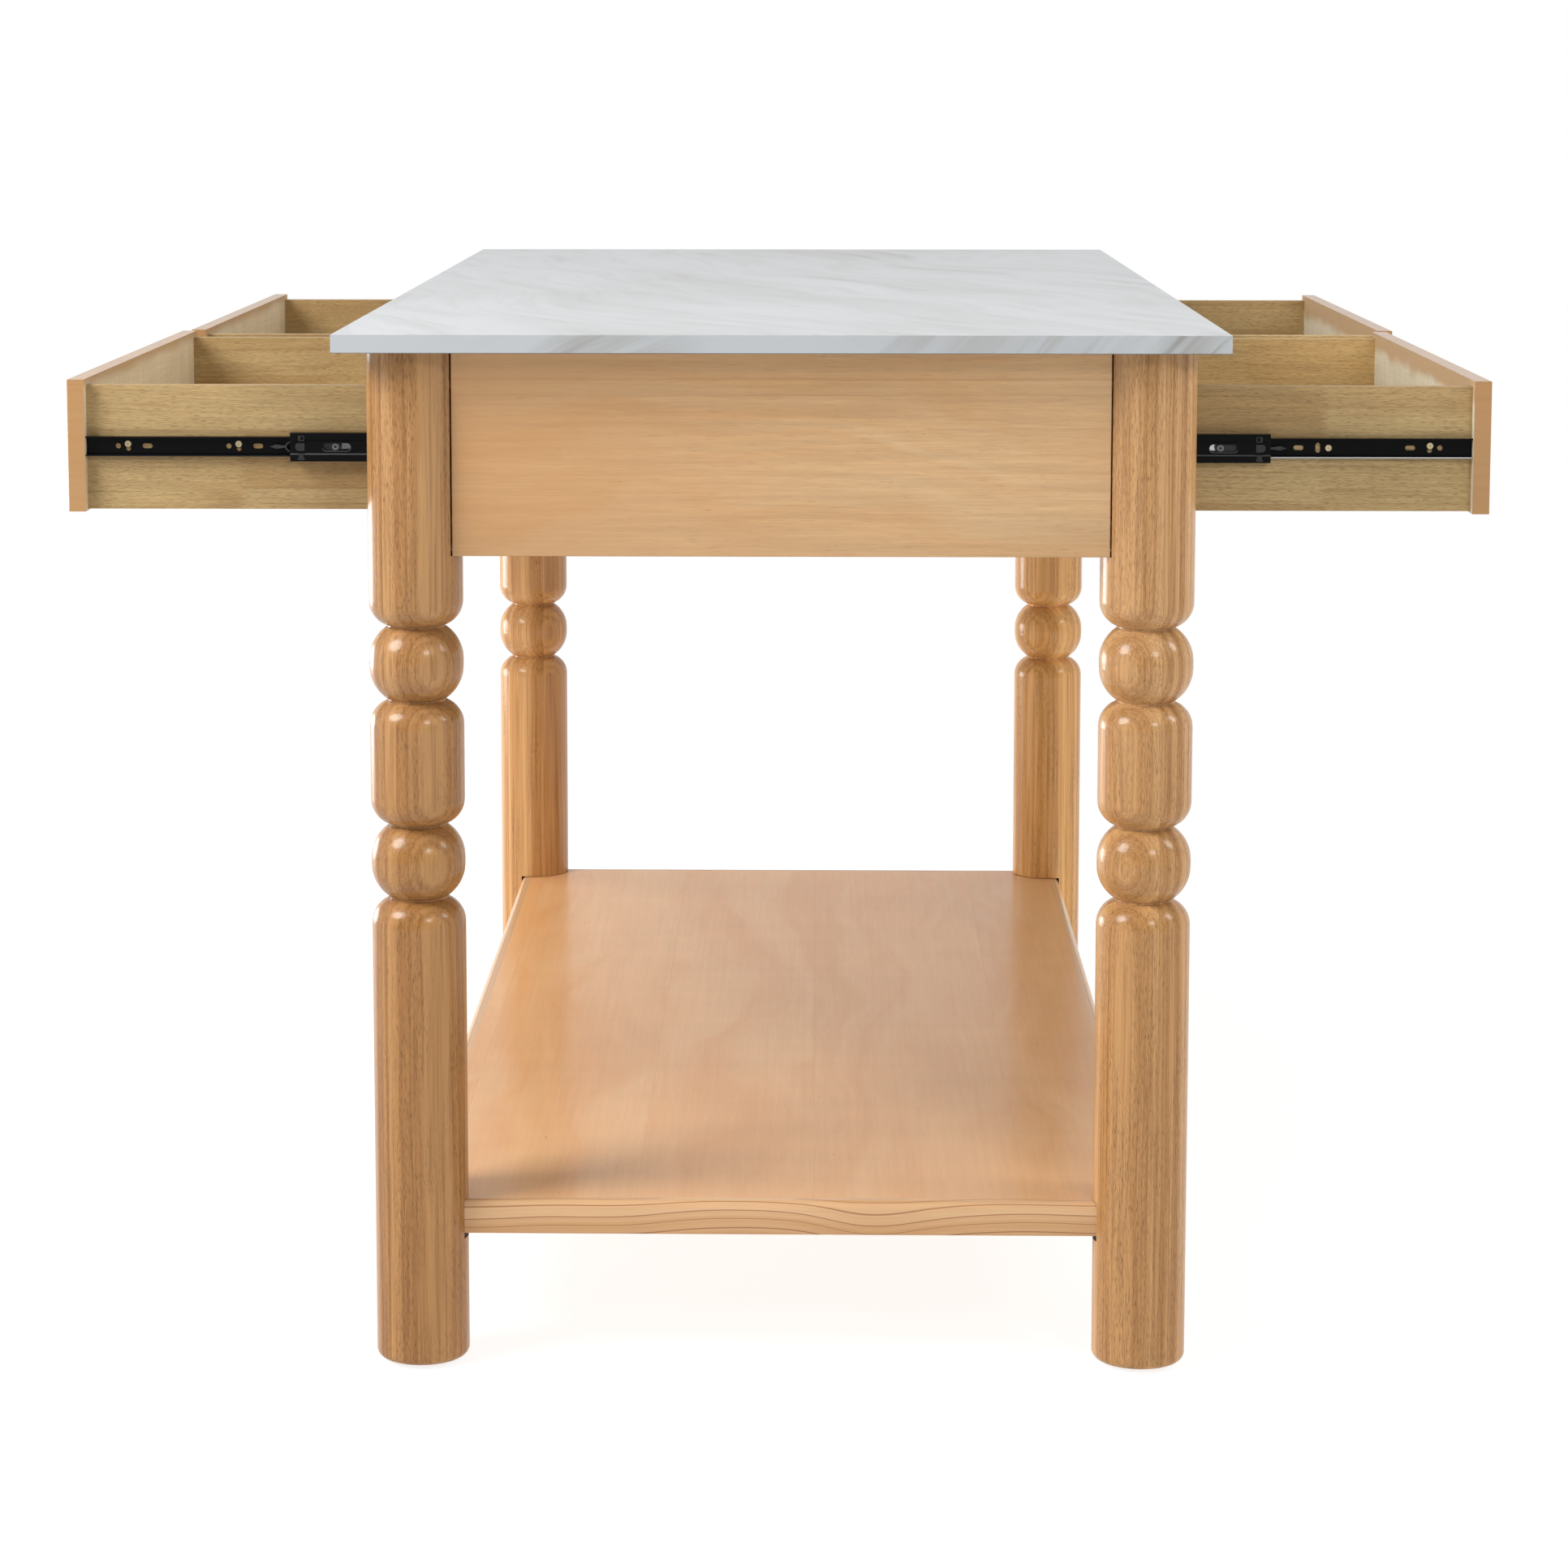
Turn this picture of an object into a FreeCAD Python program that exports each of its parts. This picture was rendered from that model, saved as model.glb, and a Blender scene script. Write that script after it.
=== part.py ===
"""Kitchen island: turned legs, marble-look top, four drawers on ball runners and a low shelf.

Millimetres. The origin is on the floor under the middle of the top, +X runs across the island,
+Y along it from the near end to the far end, and +Z up. A side is -1 (left) or +1 (right),
an end is -1 (near) or +1 (far). The drawers stand open, as photographed.
"""
import FreeCAD
import Part
import math
import os

# Driving dimensions of the whole island
TOP_WIDTH = 762.0
TOP_LENGTH = 1524.0
HEIGHT = 914.0
TOP_THICK = 16.0
TOP_OVERHANG = 23.0
TOP_ARRIS = 0.6
EDGE_ROUND = 0.8

# Turned legs
LEG_R = 41.0
NECK_R = 25.0
NECK_LAND = 1.0
GROOVE_Z = (417.0, 482.0, 592.0, 657.0)
SHOULDER_RISE = 21.75
BALL_LAND = 6.0
FOOT_ROUND = 7.0
GLIDE_R = 24.0
GLIDE_THICK = 3.0
FLAT_FROM_AXIS = 32.7

# Apron: end panels, rails, runner boards and partition
APRON_BOTTOM = 720.0
BOARD_THICK = 20.0
FACE_FROM_AXIS = 22.5
PANEL_SEAM = 1.2
RAIL_GAP = 2.0
RUNNER_BOARD_INNER = 640.0
PARTITION_THICK = 10.0

# Drawers
FRONT_LOW = 748.5
FRONT_HIGH = 865.5
FRONT_THICK = 15.0
FRONT_GAP = 2.0
BOX_LOW = 750.0
BOX_HIGH = 860.0
BOX_DEPTH = 300.0
BOX_WALL = 12.0
BOTTOM_LOW = 758.0
BOTTOM_THICK = 5.0
BOTTOM_INTO_GROOVE = 6.0
KNOB_R = 16.0
KNOB_LENGTH = 26.0
KNOB_FOOT_R = 10.0
KNOB_WAIST_R = 7.2
KNOB_WAIST_AT = 7.5
KNOB_RIM_AT = 17.5
KNOB_DOME_R = 26.0
KNOB_SCREW_R = 2.0
KNOB_SCREW_HEAD_R = 4.0
KNOB_SCREW_INTO = 14.0
OPENINGS = {"near_left": 290.0, "far_left": 283.0, "near_right": 282.0, "far_right": 290.0}

# Ball runners, measured across from the board they are screwed to
RUNNER_Z = 806.0
RUNNER_DEPTH = 12.7
RUNNER_HALF_HEIGHT = 17.5
MIDDLE_HALF_HEIGHT = 12.65
INNER_HALF_HEIGHT = 8.7
RUNNER_STEEL = 1.2
RUNNER_LENGTH = 300.0
RUNNER_SET_BACK = 2.5
MIDDLE_LENGTH = 247.0
MIDDLE_SET_BACK = 36.5
OUTER_TIP = 10.2
MIDDLE_WEB = 2.0
MIDDLE_TIP = 10.2
MIDDLE_DISH = 1.0
MIDDLE_BAND = 5.6
MIDDLE_SLOT_FROM_FRONT = 41.0
MIDDLE_SLOT_LENGTH = 25.0
MIDDLE_SLOT_WIDTH = 7.0
INNER_TIP = 5.2
OUTER_BALL_R = 1.5
INNER_BALL_R = 1.05
BALL_PITCH = 28.0
BALLS_IN_ROW = 4
BALL_ACROSS = 7.6
FIRST_BALL = 12.0

# Runner screws and the holes of the inner member, by distance from a member's end
OUTER_SCREWS = (40.0, 150.0, 262.0)
OUTER_HEAD = 0.4
LONG_SCREW = 14.0
SHORT_SCREW = 4.6
INNER_SCREW_REACH = 10.0
ROUND_HOLES = (28.0, 126.0, 244.0)
UPRIGHT_SLOTS = (37.0, 135.0, 253.0)
LONG_SLOTS = (54.0, 152.0, 270.0)
ROUND_HOLE_R = 2.4
SLOT_LENGTH = 9.0
SLOT_WIDTH = 4.4
SCREW_UP_SLOT = 2.0
INNER_SCREWS = {
    "left": ((37.0, SCREW_UP_SLOT), (135.0, SCREW_UP_SLOT), (244.0, 0.0)),
    "right": ((37.0, SCREW_UP_SLOT), (126.0, 0.0), (244.0, 0.0)),
}

# Release lever, by distance from the inner member's front end
LEVER_TIP = 163.0
LEVER_BARB = 168.5
ARCH_MIDDLE = 181.2
LEVER_PIVOT = 221.0
LEVER_NEAR = 6.4
LEVER_FAR = 10.6
LEVER_HALF_WIDTH = 4.6
TONGUE_HALF_WIDTH = 1.9
TONGUE_NECK = 0.9
WINDOW_LENGTH = 18.0
ARCH_WALL = 1.3
RIVET_R = 3.0
RIVET_PLAY = 0.3

# Shelf
SHELF_TOP = 146.0
SHELF_THICK = 30.0
SHELF_PAST_AXIS = 13.5
LIPPING_WIDTH = 12.0
LIPPING_TOP_ROUND = 7.0
LIPPING_LOW_ROUND = 2.5
NOTCH_PLAY = 0.5
NOTCH_BELOW = 4.5
PAD_PAST_AXIS = 11.0
PAD_INSET = 1.0

# Fixings: steel angles, their screws, leg bolts and dowels
BRACKET_ARM = 28.0
BRACKET_WIDTH = 24.0
BRACKET_THICK = 2.0
BRACKET_SCREW_REACH = 10.0
BRACKET_FROM_EDGE = 62.0
SCREW_R = 1.8
SCREW_HEAD_R = 3.4
SCREW_HEAD_HEIGHT = 2.0
RECESS_ARM = 1.9
RECESS_HALF_WIDTH = 0.45
RECESS_DEPTH = 1.2
SCREW_TAIL = 3.0
SCREW_FROM_CORNER = 18.0
BOLT_R = 4.0
BOLT_REACH = 50.0
BOLT_HEAD_R = 6.5
BOLT_HEAD_HEIGHT = 4.5
BOLT_FROM_RUNNER = 42.0
BOLT_FROM_AXIS = 11.0
DOWEL_R = 4.0
DOWEL_LENGTH = 40.0
DOWEL_FROM_EDGE = 30.0
HOLE_PLAY = 0.1

# Places that follow from the driving dimensions
SIDES = {"left": -1, "right": 1}
ENDS = {"near": -1, "far": 1}
TOP_LOW = HEIGHT - TOP_THICK
LEG_X = TOP_WIDTH / 2 - TOP_OVERHANG - LEG_R
LEG_Y = TOP_LENGTH / 2 - TOP_OVERHANG - LEG_R
FLAT_X = LEG_X - FLAT_FROM_AXIS
FLAT_Y = LEG_Y - FLAT_FROM_AXIS
RAIL_OUT = LEG_X + FACE_FROM_AXIS
RAIL_IN = RAIL_OUT - BOARD_THICK
PANEL_OUT = LEG_Y + FACE_FROM_AXIS
PANEL_IN = PANEL_OUT - BOARD_THICK
TOP_RAIL_LOW = FRONT_HIGH + RAIL_GAP
LOW_RAIL_HIGH = FRONT_LOW - RAIL_GAP
PARTITION_FACE = PARTITION_THICK / 2
FRONT_BACK = RAIL_OUT - FRONT_THICK
BOX_OUT_Y = RUNNER_BOARD_INNER - RUNNER_DEPTH
BOX_IN_Y = PARTITION_FACE + RUNNER_DEPTH
BOX_REAR = FRONT_BACK - BOX_DEPTH
SHELF_LOW = SHELF_TOP - SHELF_THICK
SHELF_X = LEG_X + SHELF_PAST_AXIS
SHELF_Y = LEG_Y + SHELF_PAST_AXIS
DRAWERS = {f"{end}_{side}": (SIDES[side], ENDS[end]) for side in SIDES for end in ENDS}

X_AXIS = FreeCAD.Vector(1, 0, 0)
Y_AXIS = FreeCAD.Vector(0, 1, 0)
Z_AXIS = FreeCAD.Vector(0, 0, 1)
TOUCH = 0.01

parts = {}


def vec(x, y, z):
    return FreeCAD.Vector(x, y, z)


def block(corner, opposite):
    """A box between two opposite corners, given in any order."""
    low = vec(*(min(a, b) for a, b in zip(corner, opposite)))
    high = vec(*(max(a, b) for a, b in zip(corner, opposite)))
    size = high - low
    return Part.makeBox(size.x, size.y, size.z, low)


def line(start, end):
    return Part.LineSegment(start, end).toShape()


def prism(points, along):
    """A straight-edged section, extruded."""
    return Part.Face(Part.makePolygon(points + points[:1])).extrude(along)


def group(solids):
    return Part.makeCompound(list(solids))


def eased(board, radius, picks):
    """The board with some of its edges rounded over, picked by the middle and the length of each."""
    return board.makeFillet(radius, [edge for edge in board.Edges if picks(edge.CenterOfMass, edge.Length)])


class Fixing:
    """A headed screw, bolt or plain dowel: its solid, and the hole that the pieces round it need."""

    def __init__(self, seat, inward, shank_r, shank_length, head_r=0.0, head_height=0.0, tail=0.0):
        self.solid = Part.makeCylinder(shank_r, shank_length, seat, inward)
        if tail:
            tip = seat + inward * shank_length
            self.solid = self.solid.fuse(Part.makeCone(shank_r, shank_r / 4, tail, tip, inward))
        if head_height:
            rim = head_r * 0.8
            head = Part.makeCone(head_r, rim, head_height, seat, inward * -1)
            self.solid = self.solid.fuse(head).removeSplitter()
        start = seat - inward
        self.hole = Part.makeCylinder(shank_r + HOLE_PLAY, shank_length + tail + 1 + HOLE_PLAY, start, inward)


def drilled(shape, fixings):
    """The piece with a hole for every fixing that reaches into it."""
    for fixing in fixings:
        if shape.BoundBox.intersect(fixing.hole.BoundBox):
            shape = shape.cut(fixing.hole)
    return shape


# Fixings of the carcass: dowels from rails and end panels into the legs, bolts from the
# runner boards into the legs, and steel angles screwed to panels, legs, rails and top.
dowels = []
for side in SIDES.values():
    for end in ENDS.values():
        inward = vec(0, end, 0)
        for dowel_z in ((TOP_RAIL_LOW + TOP_LOW) / 2, (APRON_BOTTOM + LOW_RAIL_HIGH) / 2):
            seat = vec(side * (RAIL_OUT + RAIL_IN) / 2, end * (FLAT_Y - DOWEL_LENGTH / 2), dowel_z)
            dowels.append(Fixing(seat, inward, DOWEL_R, DOWEL_LENGTH))
        inward = vec(side, 0, 0)
        for dowel_z in (APRON_BOTTOM + DOWEL_FROM_EDGE, TOP_LOW - DOWEL_FROM_EDGE):
            seat = vec(side * (FLAT_X - DOWEL_LENGTH / 2), end * (PANEL_OUT + PANEL_IN) / 2, dowel_z)
            dowels.append(Fixing(seat, inward, DOWEL_R, DOWEL_LENGTH))

bolts = []
for side in SIDES.values():
    for end in ENDS.values():
        for bolt_z in (RUNNER_Z - BOLT_FROM_RUNNER, RUNNER_Z + BOLT_FROM_RUNNER):
            seat = vec(side * (LEG_X - BOLT_FROM_AXIS), end * RUNNER_BOARD_INNER, bolt_z)
            bolts.append(Fixing(seat, vec(0, end, 0), BOLT_R, BOLT_REACH, BOLT_HEAD_R, BOLT_HEAD_HEIGHT))

brackets = []
bracket_screws = []


def add_bracket(corner, first, second, reach):
    """A steel angle in the inside corner of two faces, with one screw through each arm.

    first and second point away from the corner along the two faces."""
    across = first.cross(second)
    edge = across * (BRACKET_WIDTH / 2)
    angle = None
    for along, out in ((first, second), (second, first)):
        arm = block(corner - edge, corner + along * BRACKET_ARM + out * BRACKET_THICK + edge)
        angle = arm if angle is None else angle.fuse(arm).removeSplitter()
    screws = []
    for along, out in ((first, second), (second, first)):
        seat = corner + along * SCREW_FROM_CORNER + out * BRACKET_THICK
        screws.append(Fixing(seat, out * -1, SCREW_R, reach, SCREW_HEAD_R, SCREW_HEAD_HEIGHT, SCREW_TAIL))
    brackets.append(drilled(angle, screws))
    bracket_screws.extend(screws)


for end in ENDS.values():
    for side in SIDES.values():
        for bracket_z in (APRON_BOTTOM + BRACKET_FROM_EDGE, TOP_LOW - BRACKET_FROM_EDGE):
            corner = vec(side * FLAT_X, end * PANEL_IN, bracket_z)
            add_bracket(corner, vec(-side, 0, 0), vec(0, -end, 0), BRACKET_SCREW_REACH)
        corner = vec(side * FLAT_X / 2, end * PANEL_IN, TOP_LOW)
        add_bracket(corner, vec(0, 0, -1), vec(0, -end, 0), BRACKET_SCREW_REACH)
for side in SIDES.values():
    for bracket_y in (-FLAT_Y * 0.75, -FLAT_Y * 0.25, FLAT_Y * 0.25, FLAT_Y * 0.75):
        corner = vec(side * RAIL_IN, bracket_y, TOP_LOW)
        add_bracket(corner, vec(0, 0, -1), vec(-side, 0, 0), BRACKET_SCREW_REACH)


# Ball runners: every drawer hangs between two, one on a runner board and one on the partition.
# A section point is (across, up): across from the board, up from the runner's middle.
class Runner:
    """One three-member runner on a board face, for the drawer on the given side."""

    def __init__(self, side, wall_y, toward):
        self.side = side
        self.wall_y = wall_y
        self.toward = toward

    def place(self, out, across, up):
        """A point by its distance from the island's middle, from the board and from the runner's middle."""
        return vec(self.side * out, self.wall_y + self.toward * across, RUNNER_Z + up)

    def bar(self, section, rear, front):
        points = [self.place(rear, across, up) for across, up in section]
        return prism(points, vec(self.side * (front - rear), 0, 0))

    def slot(self, out, up, length, width, across, upright=False):
        """A stadium-shaped cutter through the web that lies between two distances from the board."""
        half = (length - width) / 2
        run = Z_AXIS * half if upright else X_AXIS * half
        lift = X_AXIS * (width / 2) if upright else Z_AXIS * (width / 2)
        middle = self.place(out, across[0], up)
        reach = run * ((half + width / 2) / half)
        edges = [
            line(middle - run + lift, middle + run + lift),
            Part.Arc(middle + run + lift, middle + reach, middle + run - lift).toShape(),
            line(middle + run - lift, middle - run - lift),
            Part.Arc(middle - run - lift, middle - reach, middle - run + lift).toShape(),
        ]
        depth = vec(0, self.toward * (across[1] - across[0]), 0)
        return Part.Face(Part.Wire(edges)).extrude(depth)

    def hole(self, out, up, radius, across):
        depth = across[1] - across[0]
        return Part.makeCylinder(radius, depth, self.place(out, across[0], up), Y_AXIS * self.toward)

    def screw(self, out, up, across, reach, head_height):
        """A screw through a web into the wood behind it; reach is negative towards the outer board."""
        inward = Y_AXIS * (self.toward * (1 if reach > 0 else -1))
        seat = self.place(out, across, up)
        screw = Fixing(seat, inward, SCREW_R, abs(reach), SCREW_HEAD_R, head_height)
        top = seat - inward * head_height
        bottom = top + inward * min(RECESS_DEPTH, head_height)
        for arm_x, arm_z in ((RECESS_ARM, RECESS_HALF_WIDTH), (RECESS_HALF_WIDTH, RECESS_ARM)):
            screw.solid = screw.solid.cut(block(top - vec(arm_x, 0, arm_z), bottom + vec(arm_x, 0, arm_z)))
        return screw


def channel(web_from, web_to, tip, half_height):
    """A C section: a web between two distances from the board, with a flange along each edge."""
    web_back, web_face = (web_from, web_to) if tip > web_to else (web_to, web_from)
    inside = half_height - RUNNER_STEEL
    return [(web_back, -half_height), (tip, -half_height), (tip, -inside), (web_face, -inside),
            (web_face, inside), (tip, inside), (tip, half_height), (web_back, half_height)]


RUNNER_FRONT = FRONT_BACK - RUNNER_SET_BACK

# Middle member: its web is dished between the two ball tracks.
inside = MIDDLE_HALF_HEIGHT - RUNNER_STEEL
web_in = MIDDLE_WEB + RUNNER_STEEL
dish_edge = MIDDLE_BAND + MIDDLE_DISH
middle_section = [
    (MIDDLE_WEB, -MIDDLE_HALF_HEIGHT), (MIDDLE_TIP, -MIDDLE_HALF_HEIGHT), (MIDDLE_TIP, -inside),
    (web_in, -inside), (web_in, -dish_edge), (web_in + MIDDLE_DISH, -MIDDLE_BAND),
    (web_in + MIDDLE_DISH, MIDDLE_BAND), (web_in, dish_edge), (web_in, inside),
    (MIDDLE_TIP, inside), (MIDDLE_TIP, MIDDLE_HALF_HEIGHT), (MIDDLE_WEB, MIDDLE_HALF_HEIGHT),
    (MIDDLE_WEB, dish_edge), (MIDDLE_WEB + MIDDLE_DISH, MIDDLE_BAND),
    (MIDDLE_WEB + MIDDLE_DISH, -MIDDLE_BAND), (MIDDLE_WEB, -dish_edge),
]
outer_section = channel(0, RUNNER_STEEL, OUTER_TIP, RUNNER_HALF_HEIGHT)
inner_section = channel(RUNNER_DEPTH - RUNNER_STEEL, RUNNER_DEPTH, INNER_TIP, INNER_HALF_HEIGHT)


def lever(runner, front):
    """Tongue, arch, body and eye as one flat outline, and the rivet that it turns on."""
    def at(along, up):
        return runner.place(front - along, LEVER_NEAR, up)

    def on_arch(angle, hand):
        return at(ARCH_MIDDLE - LEVER_HALF_WIDTH * math.cos(angle), hand * LEVER_HALF_WIDTH * math.sin(angle))

    neck = math.asin(TONGUE_NECK / LEVER_HALF_WIDTH)
    heel = math.pi / 2
    eye_end = at(LEVER_PIVOT + LEVER_HALF_WIDTH, 0)
    eye = Part.Arc(at(LEVER_PIVOT, -LEVER_HALF_WIDTH), eye_end, at(LEVER_PIVOT, LEVER_HALF_WIDTH))
    outline = [eye.toShape()]
    for hand in (-1, 1):
        barb = at(LEVER_BARB, hand * TONGUE_HALF_WIDTH)
        outline += [
            line(at(LEVER_TIP, 0), barb),
            line(barb, on_arch(neck, hand)),
            Part.Arc(on_arch(neck, hand), on_arch((neck + heel) / 2, hand), on_arch(heel, hand)).toShape(),
            line(on_arch(heel, hand), at(LEVER_PIVOT, hand * LEVER_HALF_WIDTH)),
        ]
    body = Part.Face(Part.Wire(Part.sortEdges(outline)[0]))
    body = body.extrude(vec(0, runner.toward * (LEVER_FAR - LEVER_NEAR), 0))
    thickness = (LEVER_NEAR, LEVER_FAR)
    window_half = LEVER_HALF_WIDTH - ARCH_WALL
    window_out = front - ARCH_MIDDLE + window_half - WINDOW_LENGTH / 2
    window = runner.slot(window_out, 0.0, WINDOW_LENGTH, 2 * window_half, thickness)
    rivet_hole = runner.hole(front - LEVER_PIVOT, 0.0, RIVET_R + RIVET_PLAY, thickness)
    rivet_span = (LEVER_NEAR - RIVET_PLAY, RUNNER_DEPTH - RUNNER_STEEL)
    rivet = runner.hole(front - LEVER_PIVOT, 0.0, RIVET_R, rivet_span)
    return body.cut(window).cut(rivet_hole), rivet


outer_members = []
outer_screws = []
for name, (side, end) in DRAWERS.items():
    opening = OPENINGS[name]
    runners = (Runner(side, end * RUNNER_BOARD_INNER, -end), Runner(side, end * PARTITION_FACE, end))
    middle_solids = []
    inner_solids = []
    levers = []
    box_screws = []
    for runner, wood in zip(runners, (LONG_SCREW, SHORT_SCREW)):
        rear = RUNNER_FRONT - RUNNER_LENGTH
        outer = runner.bar(outer_section, rear, RUNNER_FRONT)
        screws = [runner.screw(rear + out, 0.0, RUNNER_STEEL, -wood, OUTER_HEAD) for out in OUTER_SCREWS]
        outer_members.append(drilled(outer, screws))
        outer_screws.extend(screws)

        front = FRONT_BACK - MIDDLE_SET_BACK + opening / 2
        rear = front - MIDDLE_LENGTH
        middle = runner.bar(middle_section, rear, front)
        web = (MIDDLE_WEB - 1, web_in + MIDDLE_DISH + 1)
        slot_out = front - MIDDLE_SLOT_FROM_FRONT
        middle_solids.append(middle.cut(
            runner.slot(slot_out, 0.0, MIDDLE_SLOT_LENGTH, MIDDLE_SLOT_WIDTH, web)))
        for track in (-1, 1):
            outer_up = track * (MIDDLE_HALF_HEIGHT + OUTER_BALL_R)
            inner_up = track * (inside - INNER_BALL_R)
            for number in range(BALLS_IN_ROW):
                along = FIRST_BALL + number * BALL_PITCH
                outer_ball = runner.place(rear + along, BALL_ACROSS, outer_up)
                inner_ball = runner.place(front - along, BALL_ACROSS, inner_up)
                middle_solids.append(Part.makeSphere(OUTER_BALL_R, outer_ball))
                middle_solids.append(Part.makeSphere(INNER_BALL_R, inner_ball))

        front = FRONT_BACK + opening
        inner = runner.bar(inner_section, front - RUNNER_LENGTH, front)
        web = (RUNNER_DEPTH - RUNNER_STEEL - 1, RUNNER_DEPTH + 1)
        for along in ROUND_HOLES:
            inner = inner.cut(runner.hole(front - along, 0.0, ROUND_HOLE_R, web))
        for along in UPRIGHT_SLOTS:
            inner = inner.cut(runner.slot(front - along, 0.0, SLOT_LENGTH, SLOT_WIDTH, web, upright=True))
        for along in LONG_SLOTS:
            inner = inner.cut(runner.slot(front - along, 0.0, SLOT_LENGTH, SLOT_WIDTH, web))
        seat = RUNNER_DEPTH - RUNNER_STEEL
        screws = [runner.screw(front - along, up, seat, INNER_SCREW_REACH, SCREW_HEAD_HEIGHT)
                  for along, up in INNER_SCREWS[name.split("_")[1]]]
        box_screws.extend(screws)
        tongue, rivet = lever(runner, front)
        levers.append(tongue)
        inner_solids.extend([inner, rivet] + [screw.solid for screw in screws])
    parts[f"middle_runners_{name}"] = group(middle_solids)
    parts[f"inner_runners_{name}"] = group(inner_solids)
    parts[f"release_levers_{name}"] = group(levers)

    # Drawer box: front, two sides, a back between them and a bottom in grooves, with a turned knob.
    face = RAIL_OUT + opening
    back_of_front = face - FRONT_THICK
    box_rear = BOX_REAR + opening
    side_planes = (
        (end * BOX_OUT_Y, end * (BOX_OUT_Y - BOX_WALL)),
        (end * BOX_IN_Y, end * (BOX_IN_Y + BOX_WALL)),
    )
    bottom = block(
        (side * (box_rear + BOX_WALL - BOTTOM_INTO_GROOVE),
         end * (BOX_IN_Y + BOX_WALL - BOTTOM_INTO_GROOVE), BOTTOM_LOW),
        (side * (back_of_front + BOTTOM_INTO_GROOVE),
         end * (BOX_OUT_Y - BOX_WALL + BOTTOM_INTO_GROOVE), BOTTOM_LOW + BOTTOM_THICK))
    parts[f"drawer_bottom_{name}"] = bottom

    knob_y = end * (BOX_OUT_Y + BOX_IN_Y) / 2
    knob_z = (FRONT_LOW + FRONT_HIGH) / 2
    knob_seat = vec(side * back_of_front, knob_y, knob_z)
    knob_screw = Fixing(knob_seat, vec(side, 0, 0), KNOB_SCREW_R, FRONT_THICK + KNOB_SCREW_INTO,
                        KNOB_SCREW_HEAD_R, SCREW_HEAD_HEIGHT)
    front_board = block(
        (side * back_of_front, end * (RUNNER_BOARD_INNER - FRONT_GAP), FRONT_LOW),
        (side * face, end * (PARTITION_FACE + FRONT_GAP), FRONT_HIGH))
    front_board = eased(front_board, EDGE_ROUND, lambda middle, length: side * middle.x > face - TOUCH)
    parts[f"drawer_front_{name}"] = drilled(front_board.cut(bottom), [knob_screw])

    def on_top_edge(middle, length):
        return middle.z > BOX_HIGH - TOUCH and length > 2 * BOX_WALL

    for (outer_y, inner_y), where in zip(side_planes, ("outer", "inner")):
        wall = block((side * box_rear, outer_y, BOX_LOW), (side * back_of_front, inner_y, BOX_HIGH))
        wall = eased(wall, EDGE_ROUND, on_top_edge)
        parts[f"drawer_{where}_side_{name}"] = drilled(wall.cut(bottom), box_screws)
    back = block(
        (side * box_rear, side_planes[0][1], BOX_LOW),
        (side * (box_rear + BOX_WALL), side_planes[1][1], BOX_HIGH))
    parts[f"drawer_back_{name}"] = eased(back, EDGE_ROUND, on_top_edge).cut(bottom)

    def on_knob(radius, out):
        return vec(side * (face + out), knob_y + radius, knob_z)

    # Knob outline: flared foot, waist, round head with a full rim and a low dome.
    dome_edge = KNOB_R * 0.7
    dome_at = KNOB_LENGTH - KNOB_DOME_R + math.sqrt(KNOB_DOME_R ** 2 - dome_edge ** 2)
    dome_mid = KNOB_LENGTH - KNOB_DOME_R + math.sqrt(KNOB_DOME_R ** 2 - (dome_edge / 2) ** 2)
    curves = [
        ((KNOB_FOOT_R, 0), (KNOB_WAIST_R + 0.7, KNOB_WAIST_AT * 0.45), (KNOB_WAIST_R, KNOB_WAIST_AT)),
        ((KNOB_WAIST_R, KNOB_WAIST_AT), (KNOB_R * 0.82, KNOB_RIM_AT * 0.67), (KNOB_R, KNOB_RIM_AT)),
        ((KNOB_R, KNOB_RIM_AT), (KNOB_R * 0.92, (KNOB_RIM_AT + 2 * dome_at) / 3), (dome_edge, dome_at)),
        ((dome_edge, dome_at), (dome_edge / 2, dome_mid), (0, KNOB_LENGTH)),
    ]
    outline = [line(on_knob(0, 0), on_knob(KNOB_FOOT_R, 0))]
    outline += [Part.Arc(*(on_knob(*point) for point in curve)).toShape() for curve in curves]
    outline.append(line(on_knob(0, KNOB_LENGTH), on_knob(0, 0)))
    knob = Part.Face(Part.Wire(outline)).revolve(on_knob(0, 0), X_AXIS, 360)
    parts[f"drawer_knob_{name}"] = group([drilled(knob, [knob_screw]), knob_screw.solid])

parts["outer_runners"] = group(outer_members)
parts["runner_screws"] = group(screw.solid for screw in outer_screws)
carcass_fixings = dowels + bolts + bracket_screws + outer_screws


# Legs: turned in one piece, with flats for the apron, a notch for the shelf corner and dowel holes.
def shoulder(body_z, neck_z):
    """An arc that leaves the leg's full radius tangentially at body_z and meets the neck at neck_z."""
    drop = LEG_R - NECK_R
    rise = neck_z - body_z
    radius = (rise ** 2 + drop ** 2) / (2 * drop)
    half_turn = math.asin(rise / radius) / 2
    middle = vec(LEG_R - radius + radius * math.cos(half_turn), 0, body_z + radius * math.sin(half_turn))
    return Part.Arc(vec(LEG_R, 0, body_z), middle, vec(NECK_R, 0, neck_z)).toShape()


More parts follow.
